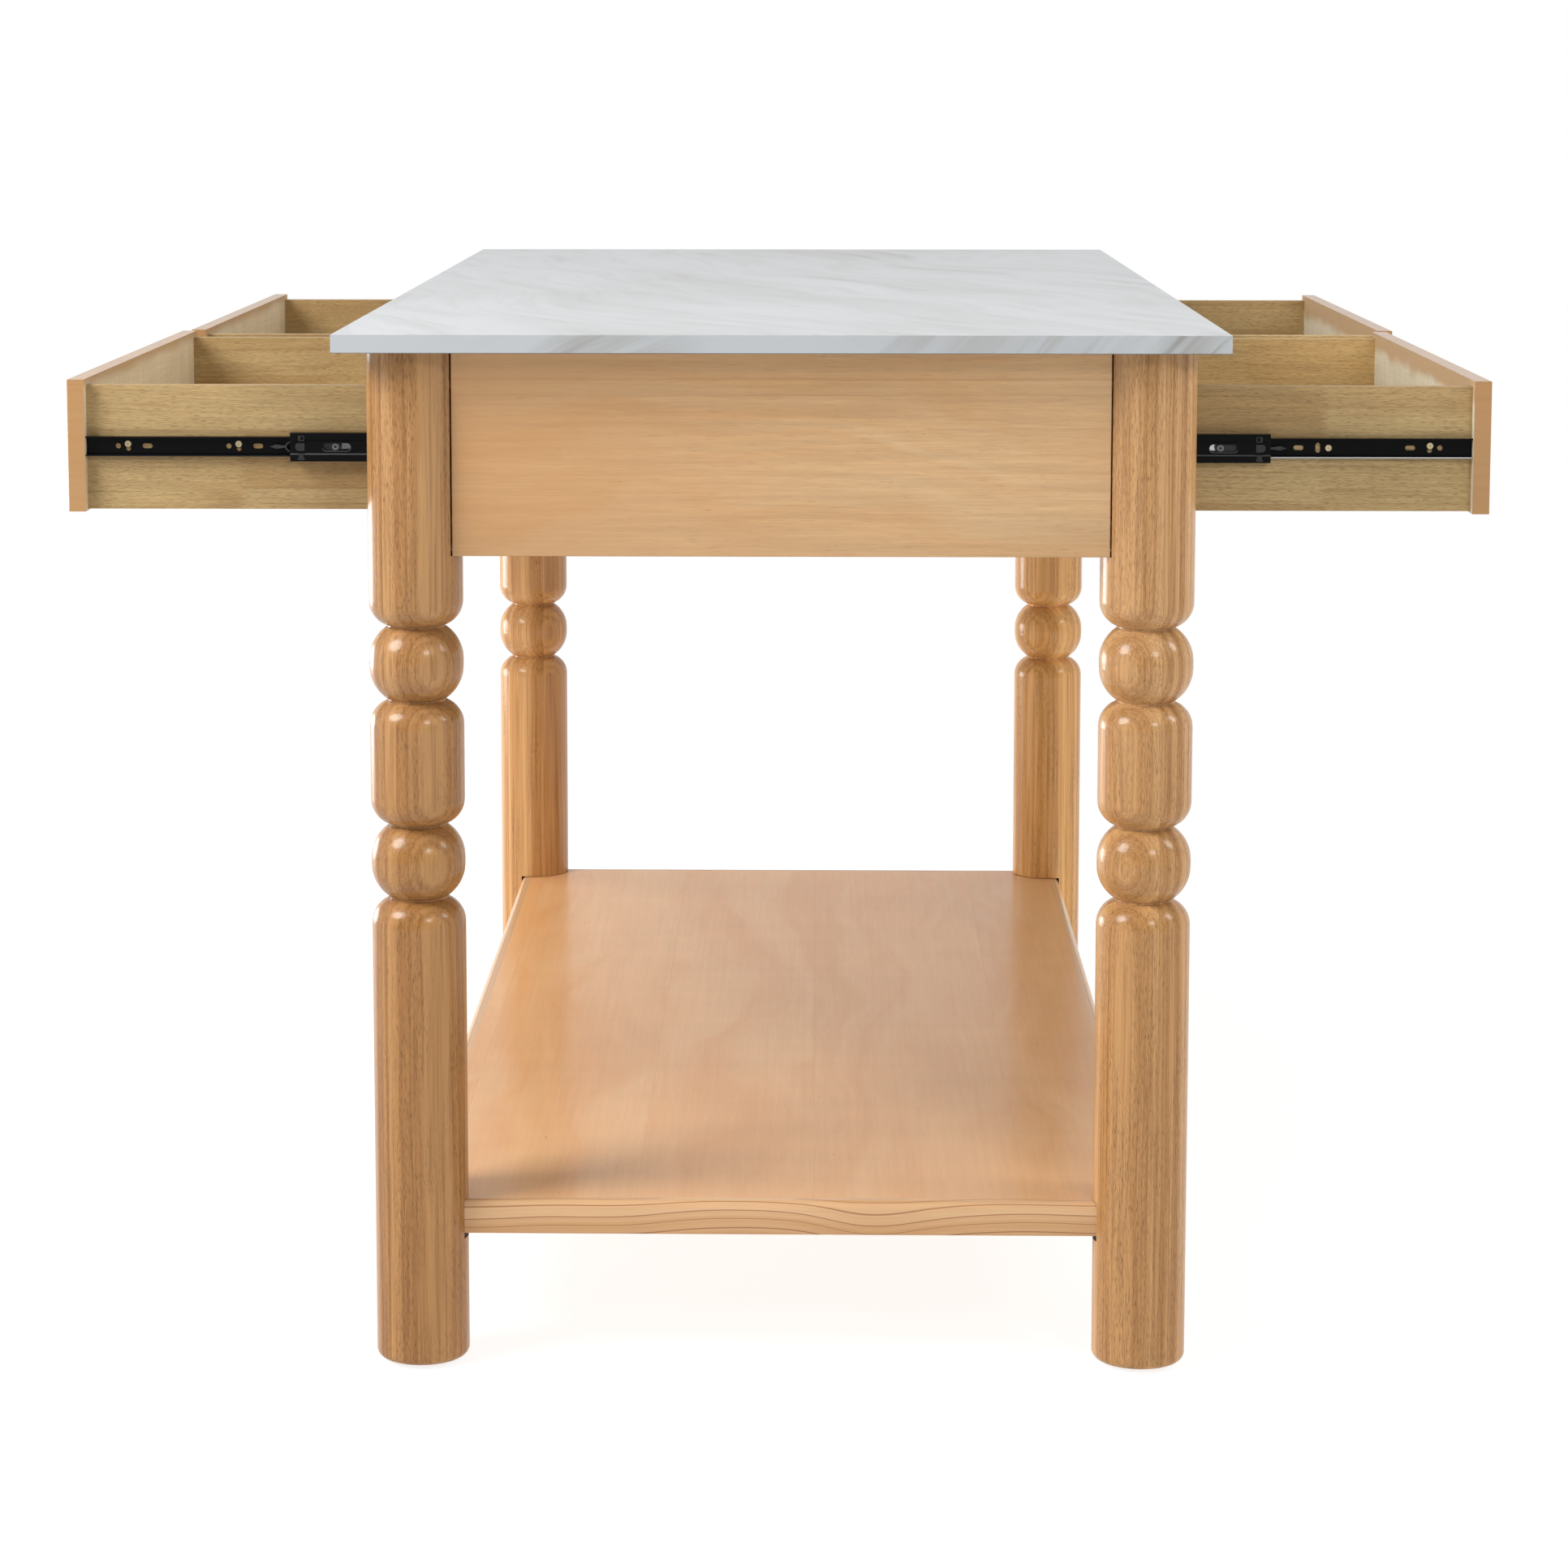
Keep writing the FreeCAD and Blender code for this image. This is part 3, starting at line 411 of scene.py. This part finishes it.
# Shelf: a veneered panel of lengthwise strips with solid lippings glued round it, the top outer
# edges rounded over. It drops into the leg notches and has a smoother, glossier lacquer on top.
SHELF_TONES = ((0.735, 0.425, 0.200, 1.0), (0.695, 0.357, 0.145, 1.0), (0.43, 0.190, 0.068, 1.0))
SHELF_SEAMS = (-0.301, -0.128, 0.030, 0.218)
SHELF_RELIEF = 0.00004
shelf = Finish("shelf_veneer", Coat_Weight=0.25, Coat_Roughness=0.16, Specular_IOR_Level=0.2)
x, y, z = shelf.point()
strip = 0.0
for seam in SHELF_SEAMS:
    strip = shelf.math("GREATER_THAN", x, seam) + strip
colour, height = veneer(shelf, y * 0.8 + strip * 1.7, x + strip * 0.31, SHELF_TONES, figure=0.42)
shade = shelf.noise_line(strip * 3.1 + 0.7)
# Painted shade: the shelf is darkened towards its right end, away from the main light.
painted_shade_rightward = shelf.step(x, 0.05, 0.33)
colour = shelf.mix(1.0, colour, 0.92 + shade * 0.16 - painted_shade_rightward * 0.11, "MULTIPLY")
ripple = shelf.noise(x * 5, y * 22, 2.0, detail=3.0)
# Painted light: the shelf grows lighter towards its back; the ripple is a random tone.
painted_light_backward = shelf.step(y, -0.60, 0.50)
colour = shelf.mix(1.0, colour, 0.88 + ripple * 0.12 + painted_light_backward * 0.17, "MULTIPLY")
for seam in SHELF_SEAMS:
    glue = 1.0 - shelf.step(abs(x - seam), 0.0, JOINT_WIDTH)
    colour = shelf.mix(glue * 0.20, colour, SHELF_TONES[2])
shelf.cover(colour, 0.34 + height * 0.06, height, SHELF_RELIEF)
dress("shelf_panel", shelf)

LIPPING_TONES = ((0.70, 0.445, 0.245, 1.0), (0.600, 0.345, 0.165, 1.0), (0.27, 0.105, 0.042, 1.0))
# Painted shade: the lippings darken and turn warmer towards their lower edge.
LIPPING_PAINTED_SHADE_TONE = (0.440, 0.215, 0.074, 1.0)
LIPPING_PAINTED_SHADE_LEVELS = (0.116, 0.142)
LIPPING_RING = 0.0072
LIPPING_PITH_LEVEL = 0.158
SIDE_LIPPING_PITH = 0.66
END_LIPPING_PITH = 0.695
LIPPING_RELIEF = 0.00006
EYE_AT = 0.084
EYE_REACH = 0.055
EYE_RISE = 0.011
GRAIN_SWAY = 0.030
TOUCHING = 1e-4


def lipping_wood(name, lengthwise):
    """Strongly lined softwood; a cathedral eye rises where the grain bends up to the face."""
    finish = Finish(name, **LACQUER)
    x, y, z = finish.point()
    along, across = (y, x) if lengthwise else (x, y)
    wave = finish.noise(along * 3.0, across * 6, z * 6, detail=2.0) - 0.5
    bend = finish.math("EXPONENT", ((along - EYE_AT) / EYE_REACH) ** 2.0 * -1.0)
    level = z + wave * GRAIN_SWAY + bend * EYE_RISE
    inset = abs(across) - (SIDE_LIPPING_PITH if lengthwise else END_LIPPING_PITH)
    from_pith = ((level - LIPPING_PITH_LEVEL) ** 2.0 + inset ** 2.0) ** 0.5
    unevenness = finish.noise_line(from_pith * 40) * 1.1
    season = finish.math("FRACT", from_pith / LIPPING_RING + unevenness)
    strong = finish.step(finish.noise_line(from_pith * 90 + 4.0), 0.25, 0.50)
    line = (1.0 - finish.step(abs(season - 0.5), 0.02, 0.09)) * strong
    shade = finish.step(finish.noise_line(from_pith * 130, detail=3.0), 0.3, 0.7)
    fibre = finish.noise(along * 20, across * 600, z * 600, detail=3.0)
    pale, warm, late_wood = LIPPING_TONES
    colour = finish.mix(shade, pale, warm)
    # Painted shade towards the lower edge of the lipping.
    richer = 1.0 - finish.step(z, *LIPPING_PAINTED_SHADE_LEVELS)
    colour = finish.mix(richer * 0.50, colour, LIPPING_PAINTED_SHADE_TONE)
    colour = finish.mix(line * 0.72, colour, late_wood)
    colour = finish.mix(1.0, colour, 0.90 + fibre * 0.20, "MULTIPLY")
    finish.cover(colour, 0.34 + fibre * 0.06, fibre - line, LIPPING_RELIEF)
    return finish


def lipping_runs(face):
    """1 for the long side strips, 0 for the end strips between them."""
    return int(abs(face.center.x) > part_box("shelf_panel")[1].x - TOUCHING)


end_lipping = lipping_wood("end_lipping_wood", False)
side_lipping = lipping_wood("side_lipping_wood", True)
dress("shelf_lippings", end_lipping, side_lipping, choose=lipping_runs)


# Ball runners: rolled steel channels in black enamel, the inner one with a zinc rear end, and steel
# balls between them. Screws with cross recesses hold them, a moulded lever frees the drawer, and a
# moulded clip through the middle member's web keeps the balls in and shows near its front end.
ENAMEL_TONES = ((0.0020, 0.0020, 0.0022, 1.0), (0.0045, 0.0045, 0.0048, 1.0))


def enamel_coat(finish):
    """Colour, roughness and height of thin black enamel on rolled steel."""
    x, y, z = finish.point()
    peel = finish.noise(x * 700, y * 700, z * 700, detail=2.0)
    scuff = finish.noise(x * 30, y * 200, z * 260, detail=4.0)
    return finish.mix(scuff, *ENAMEL_TONES), 0.14 + scuff * 0.10, peel


ENAMEL_GLOSS = {"Specular_IOR_Level": 0.10}
ENAMEL_PEEL = 0.00002
RUNNER_LEVEL = 0.806
DRAWERS = {"near_left": (-1, -1), "far_left": (-1, 1), "near_right": (1, -1), "far_right": (1, 1)}
INNER_SCREWS = {
    -1: ((0.037, 0.002), (0.135, 0.002), (0.244, 0.0)),
    1: ((0.037, 0.002), (0.126, 0.0), (0.244, 0.0)),
}
SCREW_HEAD = 0.0036
SCREW_TONE = (0.68, 0.57, 0.36, 1.0)
RIVET_AT = 0.221
RIVET_HEAD = 0.0032
RIVET_TONE = (0.24, 0.24, 0.23, 1.0)
RIVET_BORE = 0.0012
# Painted shade: a dark disc in the rivet's centre stands for its hollow bore.
BORE_PAINTED_SHADE = (0.05, 0.05, 0.05, 1.0)
TAIL_AT = RIVET_AT + 0.0030
BOX_MIDDLE = 0.3225
WEB_FROM_BOX_MIDDLE = 0.30603
LIP_FROM_BOX_MIDDLE = 0.31195
LIP_BELOW_MIDDLE = 0.0068
SLOT_AT = 0.041
SLOT_HALF_RUN = 0.009
SLOT_HALF_WIDTH = 0.0035
DISH_EDGE = -0.0061
# Painted highlight on the middle member: along the lower fold of its dish and round the lower half
# of the slot's rim.
FOLD_AND_RIM_HIGHLIGHT = (0.11, 0.11, 0.115, 1.0)
# Painted highlight along the inner member's lower lip: bright on the right-hand runners, none on the
# left.
LIP_PAINTED_HIGHLIGHT = {-1: (0.016, 0.016, 0.017, 1.0), 1: (0.46, 0.47, 0.48, 1.0)}
# Zinc rear end of the inner members, with painted light: bright on the right-hand runners, shaded on
# the left.
TAIL_ZINC_WITH_PAINTED_LIGHT = {-1: (0.20, 0.20, 0.205, 1.0), 1: (0.74, 0.75, 0.76, 1.0)}
enamel = Finish("outer_runner_enamel", **ENAMEL_GLOSS)
enamel.cover(*enamel_coat(enamel), ENAMEL_PEEL)
ball_steel = plated("ball_steel", (0.62, 0.62, 0.63, 1.0), 0.12)
lever_plastic = moulded("lever_plastic", (0.017, 0.017, 0.018, 1.0), 0.42, 1200)
dress("outer_runners", enamel)


def is_ball(face):
    """1 for the balls, whose faces slant both ways; a channel's faces run straight."""
    return int(min(abs(face.normal.x), abs(face.normal.y)) > 0.01)


def moulding(mesh, places):
    """A closed moulding between two like outlines, the points of one below and one above."""
    below, above = ([mesh.verts.new(place) for place in outline] for outline in places)
    mesh.faces.new(below)
    mesh.faces.new(above[::-1])
    for first, second in zip(range(-1, len(below) - 1), range(len(below))):
        mesh.faces.new((below[first], above[first], above[second], below[second]))


OUTER_WALL = 0.640
INNER_WALL = 0.005
CLIP_BACK = 0.0128
CLIP_FRAME = (
    (0.0071, 0.0054, CLIP_BACK, 0.0064), (0.0071, 0.0092, CLIP_BACK, 0.0102),
    (0.0071, 0.0064, 0.0092, 0.0092), (0.0118, 0.0064, CLIP_BACK, 0.0092),
)
CLIP_RIBS = (
    (0.0068, -0.0072, CLIP_BACK, -0.0057), (0.0076, -0.0095, 0.0120, -0.0072),
    (0.0068, -0.0114, CLIP_BACK, -0.0095),
)
CLIP_FACES = (0.0031, 0.0016)
CLIP_EASE = 0.00015
BUMP_FACES = (0.0032, 0.0023)
BUMP_AT = 0.0079
BUMP_RADIUS = 0.0035
BUMP_TURNS = [step * math.pi / 12 for step in range(-6, 7)]
clip_plastic = moulded("clip_plastic", (0.012, 0.012, 0.013, 1.0), 0.40, 1400)
for name, (side, end) in DRAWERS.items():
    low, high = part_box("inner_runners_" + name)
    front = high.x if side > 0 else low.x
    inner = Finish("inner_runner_" + name, **ENAMEL_GLOSS)
    x, y, z = inner.point()
    colour, roughness, height = enamel_coat(inner)
    behind = (front - x) * side
    out = abs(abs(y) - BOX_MIDDLE)
    proud = inner.step(out, WEB_FROM_BOX_MIDDLE, WEB_FROM_BOX_MIDDLE + 0.00004)

    def head(along, up, radius):
        """1 on a screw or rivet head that stands proud of the member's web."""
        off = ((behind - along) ** 2.0 + (z - RUNNER_LEVEL - up) ** 2.0) ** 0.5
        return proud * (1.0 - inner.step(off, radius, radius + 0.0001))

    heads = 0.0
    for along, up in INNER_SCREWS[side]:
        heads = head(along, up, SCREW_HEAD) + heads
    tail = inner.step(behind, TAIL_AT, TAIL_AT + 0.0004)
    rivet = head(RIVET_AT, 0.0, RIVET_HEAD)
    lip = inner.step(out, LIP_FROM_BOX_MIDDLE, LIP_FROM_BOX_MIDDLE + 0.0002)
    # Painted highlight along the lower lip of the inner member.
    lower_lip_highlight = lip * inner.step(RUNNER_LEVEL - z, LIP_BELOW_MIDDLE, LIP_BELOW_MIDDLE + 0.0004)
    colour = inner.mix(lower_lip_highlight * 0.85, colour, LIP_PAINTED_HIGHLIGHT[side])
    # Zinc tail; its brightness by side is painted light.
    colour = inner.mix(tail, colour, TAIL_ZINC_WITH_PAINTED_LIGHT[side])
    colour = inner.mix(rivet, colour, RIVET_TONE)
    # Painted shade of the rivet's bore.
    colour = inner.mix(head(RIVET_AT, 0.0, RIVET_BORE), colour, BORE_PAINTED_SHADE)
    colour = inner.mix(heads, colour, SCREW_TONE)
    metal = heads + rivet * 0.4 + tail * (1.0 - rivet) * (1.0 - heads)
    inner.cover(colour, roughness + heads * 0.20 + rivet * 0.10, height, ENAMEL_PEEL)
    inner.feed(inner.shader.inputs["Metallic"], metal)
    dress("inner_runners_" + name, inner)

    low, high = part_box("middle_runners_" + name)
    front = high.x if side > 0 else low.x
    middle = Finish("middle_runner_" + name, **ENAMEL_GLOSS)
    x, y, z = middle.point()
    colour, roughness, height = enamel_coat(middle)
    up = z - RUNNER_LEVEL
    past = middle.math("MAXIMUM", abs((front - x) * side - SLOT_AT) - SLOT_HALF_RUN, 0.0)
    off = (past ** 2.0 + up ** 2.0) ** 0.5 - SLOT_HALF_WIDTH
    # Painted highlights: round the lower half of the slot's rim and along the dish's lower fold.
    slot_rim_highlight = (1.0 - middle.step(abs(off), 0.0002, 0.0006)) * middle.step(0.0 - up, 0.0, 0.0025)
    fold_highlight = 1.0 - middle.step(abs(up - DISH_EDGE), 0.0004, 0.0007)
    colour = middle.mix(fold_highlight * 0.6 + slot_rim_highlight * 0.9, colour, FOLD_AND_RIM_HIGHLIGHT)
    middle.cover(colour, roughness, height, ENAMEL_PEEL)
    dress("middle_runners_" + name, middle, ball_steel, choose=is_ball)
    dress("release_levers_" + name, lever_plastic)

    clips = bmesh.new()
    for wall, toward in ((end * OUTER_WALL, -end), (end * INNER_WALL, end)):
        def at(behind, up, across):
            """A place behind the member's front end, over its middle and off the wall."""
            return (front - side * behind, wall + toward * across, RUNNER_LEVEL + up)

        for near, low_up, far, high_up in CLIP_FRAME + CLIP_RIBS:
            corners = ((near, low_up), (far, low_up), (far, high_up), (near, high_up))
            moulding(clips, [[at(*corner, across) for corner in corners] for across in CLIP_FACES])
        bump = [(BUMP_AT - BUMP_RADIUS * math.cos(turn), BUMP_RADIUS * math.sin(turn))
                for turn in BUMP_TURNS]
        bump += [(CLIP_BACK, BUMP_RADIUS), (CLIP_BACK, -BUMP_RADIUS)]
        moulding(clips, [[at(*corner, across) for corner in bump] for across in BUMP_FACES])
    bmesh.ops.recalc_face_normals(clips, faces=clips.faces)
    bmesh.ops.bevel(clips, geom=clips.edges, offset=CLIP_EASE, segments=1, affect="EDGES")
    clip_mesh = bpy.data.meshes.new("retainer_clips_" + name)
    clips.to_mesh(clip_mesh)
    clips.free()
    clip_mesh.materials.append(clip_plastic.owner)
    clip = bpy.data.objects.new("retainer_clips_" + name, clip_mesh)
    bpy.context.scene.collection.objects.link(clip)
    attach(clip, "middle_" + name)


# Drawer boxes: sides and back of finger-jointed rubberwood, planed and unlacquered, with a thin
# board bottom in grooves. The sides are screwed to the runners' inner members.
BOX_TONES = (
    (0.470, 0.338, 0.155, 1.0),
    (0.402, 0.263, 0.106, 1.0),
    (0.297, 0.167, 0.061, 1.0),
    (0.224, 0.129, 0.050, 1.0),
)
# Painted shade on the left drawers' outer sides and painted light on the right drawers' inner sides.
BOX_PAINTED_LIGHT = {("outer_side", -1): 0.93, ("inner_side", 1): 1.38}
BOX_STRIP = 0.052
BOX_BLOCK = 0.24
BOX_START = 0.012
BOX_STAGGER = 0.006
BOX_RELIEF = 0.00012
PLY_TONES = ((0.70, 0.56, 0.36, 1.0), (0.64, 0.48, 0.28, 1.0), (0.42, 0.28, 0.14, 1.0))
PLY_RELIEF = 0.00006
for number, (name, (side, _)) in enumerate(DRAWERS.items()):
    start = BOX_START + BOX_STAGGER * number
    for place, seed in (("outer_side", 1.0), ("inner_side", 5.0), ("back", 9.0)):
        # Painted shade on the left outer sides and painted light on the right inner sides; other
        # boards stay as they are.
        shade = BOX_PAINTED_LIGHT.get((place, side), 1.0)
        wood = Finish(f"drawer_{place}_{name}_wood", Specular_IOR_Level=0.35)
        x, y, z = wood.point()
        along, depth = (y, x) if place == "back" else (x * side, y)
        colour, height = glued_board(
            wood, along, z, depth, BOX_STRIP, BOX_BLOCK, start, seed + number * 13.0, BOX_TONES)
        colour = wood.mix(1.0, colour, (shade, shade, shade, 1.0), "MULTIPLY")
        wood.cover(colour, 0.50 + height * 0.1, height, BOX_RELIEF)
        dress(f"drawer_{place}_{name}", wood)
    ply = Finish(f"drawer_bottom_{name}_ply", Specular_IOR_Level=0.35)
    x, y, z = ply.point()
    colour, height = veneer(ply, y + number, x, PLY_TONES)
    ply.cover(colour, 0.5 + height * 0.1, height, PLY_RELIEF)
    dress(f"drawer_bottom_{name}", ply)


# Drawer fronts and knobs: boards lacquered peach like the end panels on the face and edges, their
# backs left as sawn with a little overspray along the top. A turned knob is screwed on from behind.
OVERSPRAY = {-1: 0.008, 1: 0.030}
OVERSPRAY_TONE = (0.46, 0.265, 0.115, 1.0)
# Sawn backs by side: the wood's own tones, with the left backs lifted by painted light.
SAWN_TONES_WITH_PAINTED_LIGHT = {
    -1: ((0.72, 0.620, 0.45, 1.0), (0.63, 0.510, 0.32, 1.0)),
    1: ((0.67, 0.615, 0.49, 1.0), (0.59, 0.515, 0.36, 1.0)),
}
SAWN_RELIEF = 0.00020
FRONT_TONES = ((0.415, 0.232, 0.098, 1.0), (0.402, 0.216, 0.085, 1.0), (0.30, 0.137, 0.048, 1.0))
FRONT_LACQUER = {"Coat_Weight": 0.5, "Coat_Roughness": 0.15, "Specular_IOR_Level": 0.2}
FRONT_RELIEF = 0.00004
KNOB_PITH = (0.03, 0.05)
KNOB_RING = 0.008
KNOB_RELIEF = 0.00010
for name, (side, _) in DRAWERS.items():
    low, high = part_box("drawer_front_" + name)
    face = Finish(f"drawer_front_{name}_veneer", **FRONT_LACQUER)
    x, y, z = face.point()
    from_end = (high.y - low.y) / 2 - abs(y - (high.y + low.y) / 2)
    plain_end = 1.0 - face.step(from_end, 0.0002, 0.0006)
    colour, height = veneer(face, y + 3.0 * side, z, FRONT_TONES, figure=1.0 - plain_end * 0.7)
    face.cover(colour, 0.42 + height * 0.06, height, FRONT_RELIEF)

    sawn = Finish(f"drawer_front_{name}_back", Specular_IOR_Level=0.25)
    x, y, z = sawn.point()
    saw = sawn.noise(x * 40, y * 330, z * 9, detail=3.0)
    fibre = sawn.noise(x * 40, y * 16, z * 500, detail=3.0)
    patch = sawn.noise(x, y * 9, z * 26)
    # Sawn tones, the left backs lifted by painted light.
    colour = sawn.mix(patch, *SAWN_TONES_WITH_PAINTED_LIGHT[side])
    colour = sawn.mix(1.0, colour, 0.76 + saw * 0.48, "MULTIPLY")
    colour = sawn.mix(1.0, colour, 0.86 + fibre * 0.28, "MULTIPLY")
    spray = sawn.step(z + saw * 0.006 + patch * OVERSPRAY[side] - high.z, -0.006, 0.006)
    colour = sawn.mix(spray * 0.75, colour, OVERSPRAY_TONE)
    sawn.cover(colour, 0.7, saw + fibre * 0.5, SAWN_RELIEF)

    def is_back(facet):
        return int(facet.normal.x * side < -0.9)

    dress("drawer_front_" + name, face, sawn, choose=is_back)

    wood = Finish(f"drawer_knob_{name}_wood", **LACQUER)
    x, y, z = wood.point()
    middle = (low + high) / 2
    colour, height = rubberwood(
        wood, x, y - middle.y, z - middle.z, KNOB_PITH, LEG_TONES, KNOB_RING)
    wood.cover(colour, 0.36 + height * 0.1, height, KNOB_RELIEF)
    outer_face = high.x if side > 0 else low.x

    def is_screw(facet):
        return int(side * (facet.center.x - outer_face) < -TOUCHING)

    dress("drawer_knob_" + name, wood, zinc, choose=is_screw)


# Worktop: a thin board with a marble face and edges cut square, the top arrises just eased and a
# painted shadow along its lower arris. It lies on the apron and is held from below by the angle
# brackets.
VEIN_GROUPS = (
    (-0.551, 0.13), (-0.201, 0.15), (-0.036, 0.06), (0.17, 0.14), (0.44, 0.12), (0.62, 0.08),
)
GROUP_SLANT = 0.5
VEIN_LEAN = (-0.536, -0.188, 0.771)
VEIN_WARP = 0.24
VEIN_RUFFLE = 0.009
EDGE_TONE = (0.432, 0.454, 0.473, 1.0)
TOP_TONE = (0.480, 0.494, 0.507, 1.0)
CLOUD_TONE = (0.340, 0.335, 0.325, 1.0)
STREAK_TONE = (0.29, 0.28, 0.265, 1.0)
VEIN_TONE = (0.20, 0.195, 0.185, 1.0)
UNDERSIDE_PAINTED_SHADOW = (0.10, 0.085, 0.07, 1.0)
POLISHED = 0.00001
marble = Finish("marble", Coat_Weight=0.2, Coat_Roughness=0.18, Specular_IOR_Level=0.5)
x, y, z = marble.point()
top_low, top_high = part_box("top_slab")
on_top = marble.step(z, top_high.z - 0.0006, top_high.z - 0.0002)
warp = marble.noise(x * 1.7, y * 1.7, z * 1.7, detail=1.0) - 0.5
ruffle = marble.noise(x * 7, y * 7, z * 7, detail=3.0) - 0.5
lean = x * VEIN_LEAN[0] + y * VEIN_LEAN[1] + z * VEIN_LEAN[2]
layer = lean + warp * VEIN_WARP + ruffle * VEIN_RUFFLE
thin = marble.noise_line(layer * (17 - 9 * on_top), detail=2.0)
vein = (1.0 - marble.step(abs(thin - 0.5), 0.0, 0.035)) * (1.0 - 0.4 * on_top)
breaks = marble.step(marble.noise(x * 5, y * 3, z * 5 + 4.0, detail=3.0), 0.46, 0.66)
haze = marble.noise(layer * (24 - 12 * on_top), y * 1.8, x * 1.8 + 2.0, detail=4.0, roughness=0.6)
fine = marble.noise(layer * 80, y * 5, x * 5, detail=3.0)
group = on_top
for place, reach in VEIN_GROUPS:
    off = abs(x + y * GROUP_SLANT - place)
    group = marble.math("MAXIMUM", group, 1.0 - marble.step(off, 0.0, reach))
on_edge = 1.0 - on_top
cloudy = marble.step(haze + group * on_edge * 0.10, 0.42, 0.76) * group
depth_of_tone = 1.0 - 0.12 * on_top
clear = marble.mix(on_top, EDGE_TONE, TOP_TONE)
colour = marble.mix(cloudy * depth_of_tone * 0.75, clear, CLOUD_TONE)
streaks = marble.step(fine, 0.46, 0.68) * group * (0.26 + 0.54 * on_edge)
colour = marble.mix(streaks, colour, STREAK_TONE)
colour = marble.mix(vein * breaks * group * depth_of_tone * 0.70, colour, VEIN_TONE)
# Painted shadow: a dark line along the foot of the worktop's edges, where it sits on the apron.
painted_shadow_line = 1.0 - marble.step(z, top_low.z + 0.0004, top_low.z + 0.0009)
colour = marble.mix(painted_shadow_line * 0.8, colour, UNDERSIDE_PAINTED_SHADOW)
marble.cover(colour, 0.30 + haze * 0.10, haze, POLISHED)
dress("top_slab", marble)


# Studio: a wide pale floor, a bright even room, four soft boxes and the camera, which stands in
# front of the near end a little above the worktop.
FLOOR_SIDE = 30.0
FLOOR_FRONT = -10.0
FLOOR_BACK = 40.0
FLOOR_TONE = (0.24, 0.24, 0.24, 1.0)
FLOOR_GLOW = 0.84
WHITE = (1.0, 1.0, 1.0, 1.0)
floor_mesh = bpy.data.meshes.new("floor")
corners = [(x, y, 0.0) for y in (FLOOR_FRONT, FLOOR_BACK) for x in (-FLOOR_SIDE, FLOOR_SIDE)]
floor_mesh.from_pydata(corners, [], [(0, 1, 3, 2)])
floor = bpy.data.objects.new("floor", floor_mesh)
bpy.context.scene.collection.objects.link(floor)
pale_floor = Finish("pale_floor", Base_Color=FLOOR_TONE, Roughness=0.9, Specular_IOR_Level=0.1,
                    Emission_Color=WHITE, Emission_Strength=FLOOR_GLOW)
floor_mesh.materials.append(pale_floor.owner)

room = Shading(bpy.data.worlds.new("bright_room"))
direction = room.node("TexCoord", {}, {}, output="Generated")
toward = room.node("SeparateXYZ", {}, {"Vector": direction})
before = room.step(0.0 - toward.out("Y"), 0.22, 0.9)
overhead = room.step(toward.out("Z"), 0.05, 0.6)
brightness = (1.0 - overhead * 0.35) * (1.0 - before * 0.85)
room.feed(room.tree.nodes["Background"].inputs["Strength"], brightness)
room.feed(room.tree.nodes["Background"].inputs["Color"], WHITE)
bpy.context.scene.world = room.owner
bpy.context.scene.view_settings.view_transform = "Standard"


def soft_box(name, place, aim, width, height, watts):
    """An oval lamp at a place, turned toward its aim and itself out of sight."""
    lamp = bpy.data.lights.new(name, "AREA")
    lamp.shape = "ELLIPSE"
    lamp.size = width
    lamp.size_y = height
    lamp.energy = watts
    box = bpy.data.objects.new(name, lamp)
    box.location = place
    box.rotation_euler = (Vector(aim) - Vector(place)).to_track_quat("-Z", "Y").to_euler()
    box.visible_camera = False
    bpy.context.scene.collection.objects.link(box)


soft_box("left_box", (-2.1, -1.6, 2.3), (0.0, -0.3, 0.6), 1.4, 1.4, 81)
soft_box("front_box", (1.15, -3.0, 1.95), (0.0, -0.7, 0.6), 0.7, 0.7, 18)
soft_box("right_box", (2.3, -1.0, 2.1), (0.2, -0.4, 0.7), 0.6, 1.0, 17)
soft_box("left_rim_box", (-2.3, 1.4, 0.45), (-0.3, -0.7, 0.6), 1.2, 0.85, 31)

CAMERA_PLACE = (0.0286, -4.0247, 1.1407)
CAMERA_PITCH = math.radians(6.904)
CAMERA_TURN = math.radians(0.989)
lens = bpy.data.cameras.new("camera")
lens.sensor_width = 36.0
lens.lens = 88.87
lens.shift_x = 0.0232
lens.shift_y = -0.16
camera = bpy.data.objects.new("camera", lens)
camera.location = CAMERA_PLACE
camera.rotation_euler = (math.pi / 2 - CAMERA_PITCH, 0.0, CAMERA_TURN)
bpy.context.scene.collection.objects.link(camera)
bpy.context.scene.camera = camera
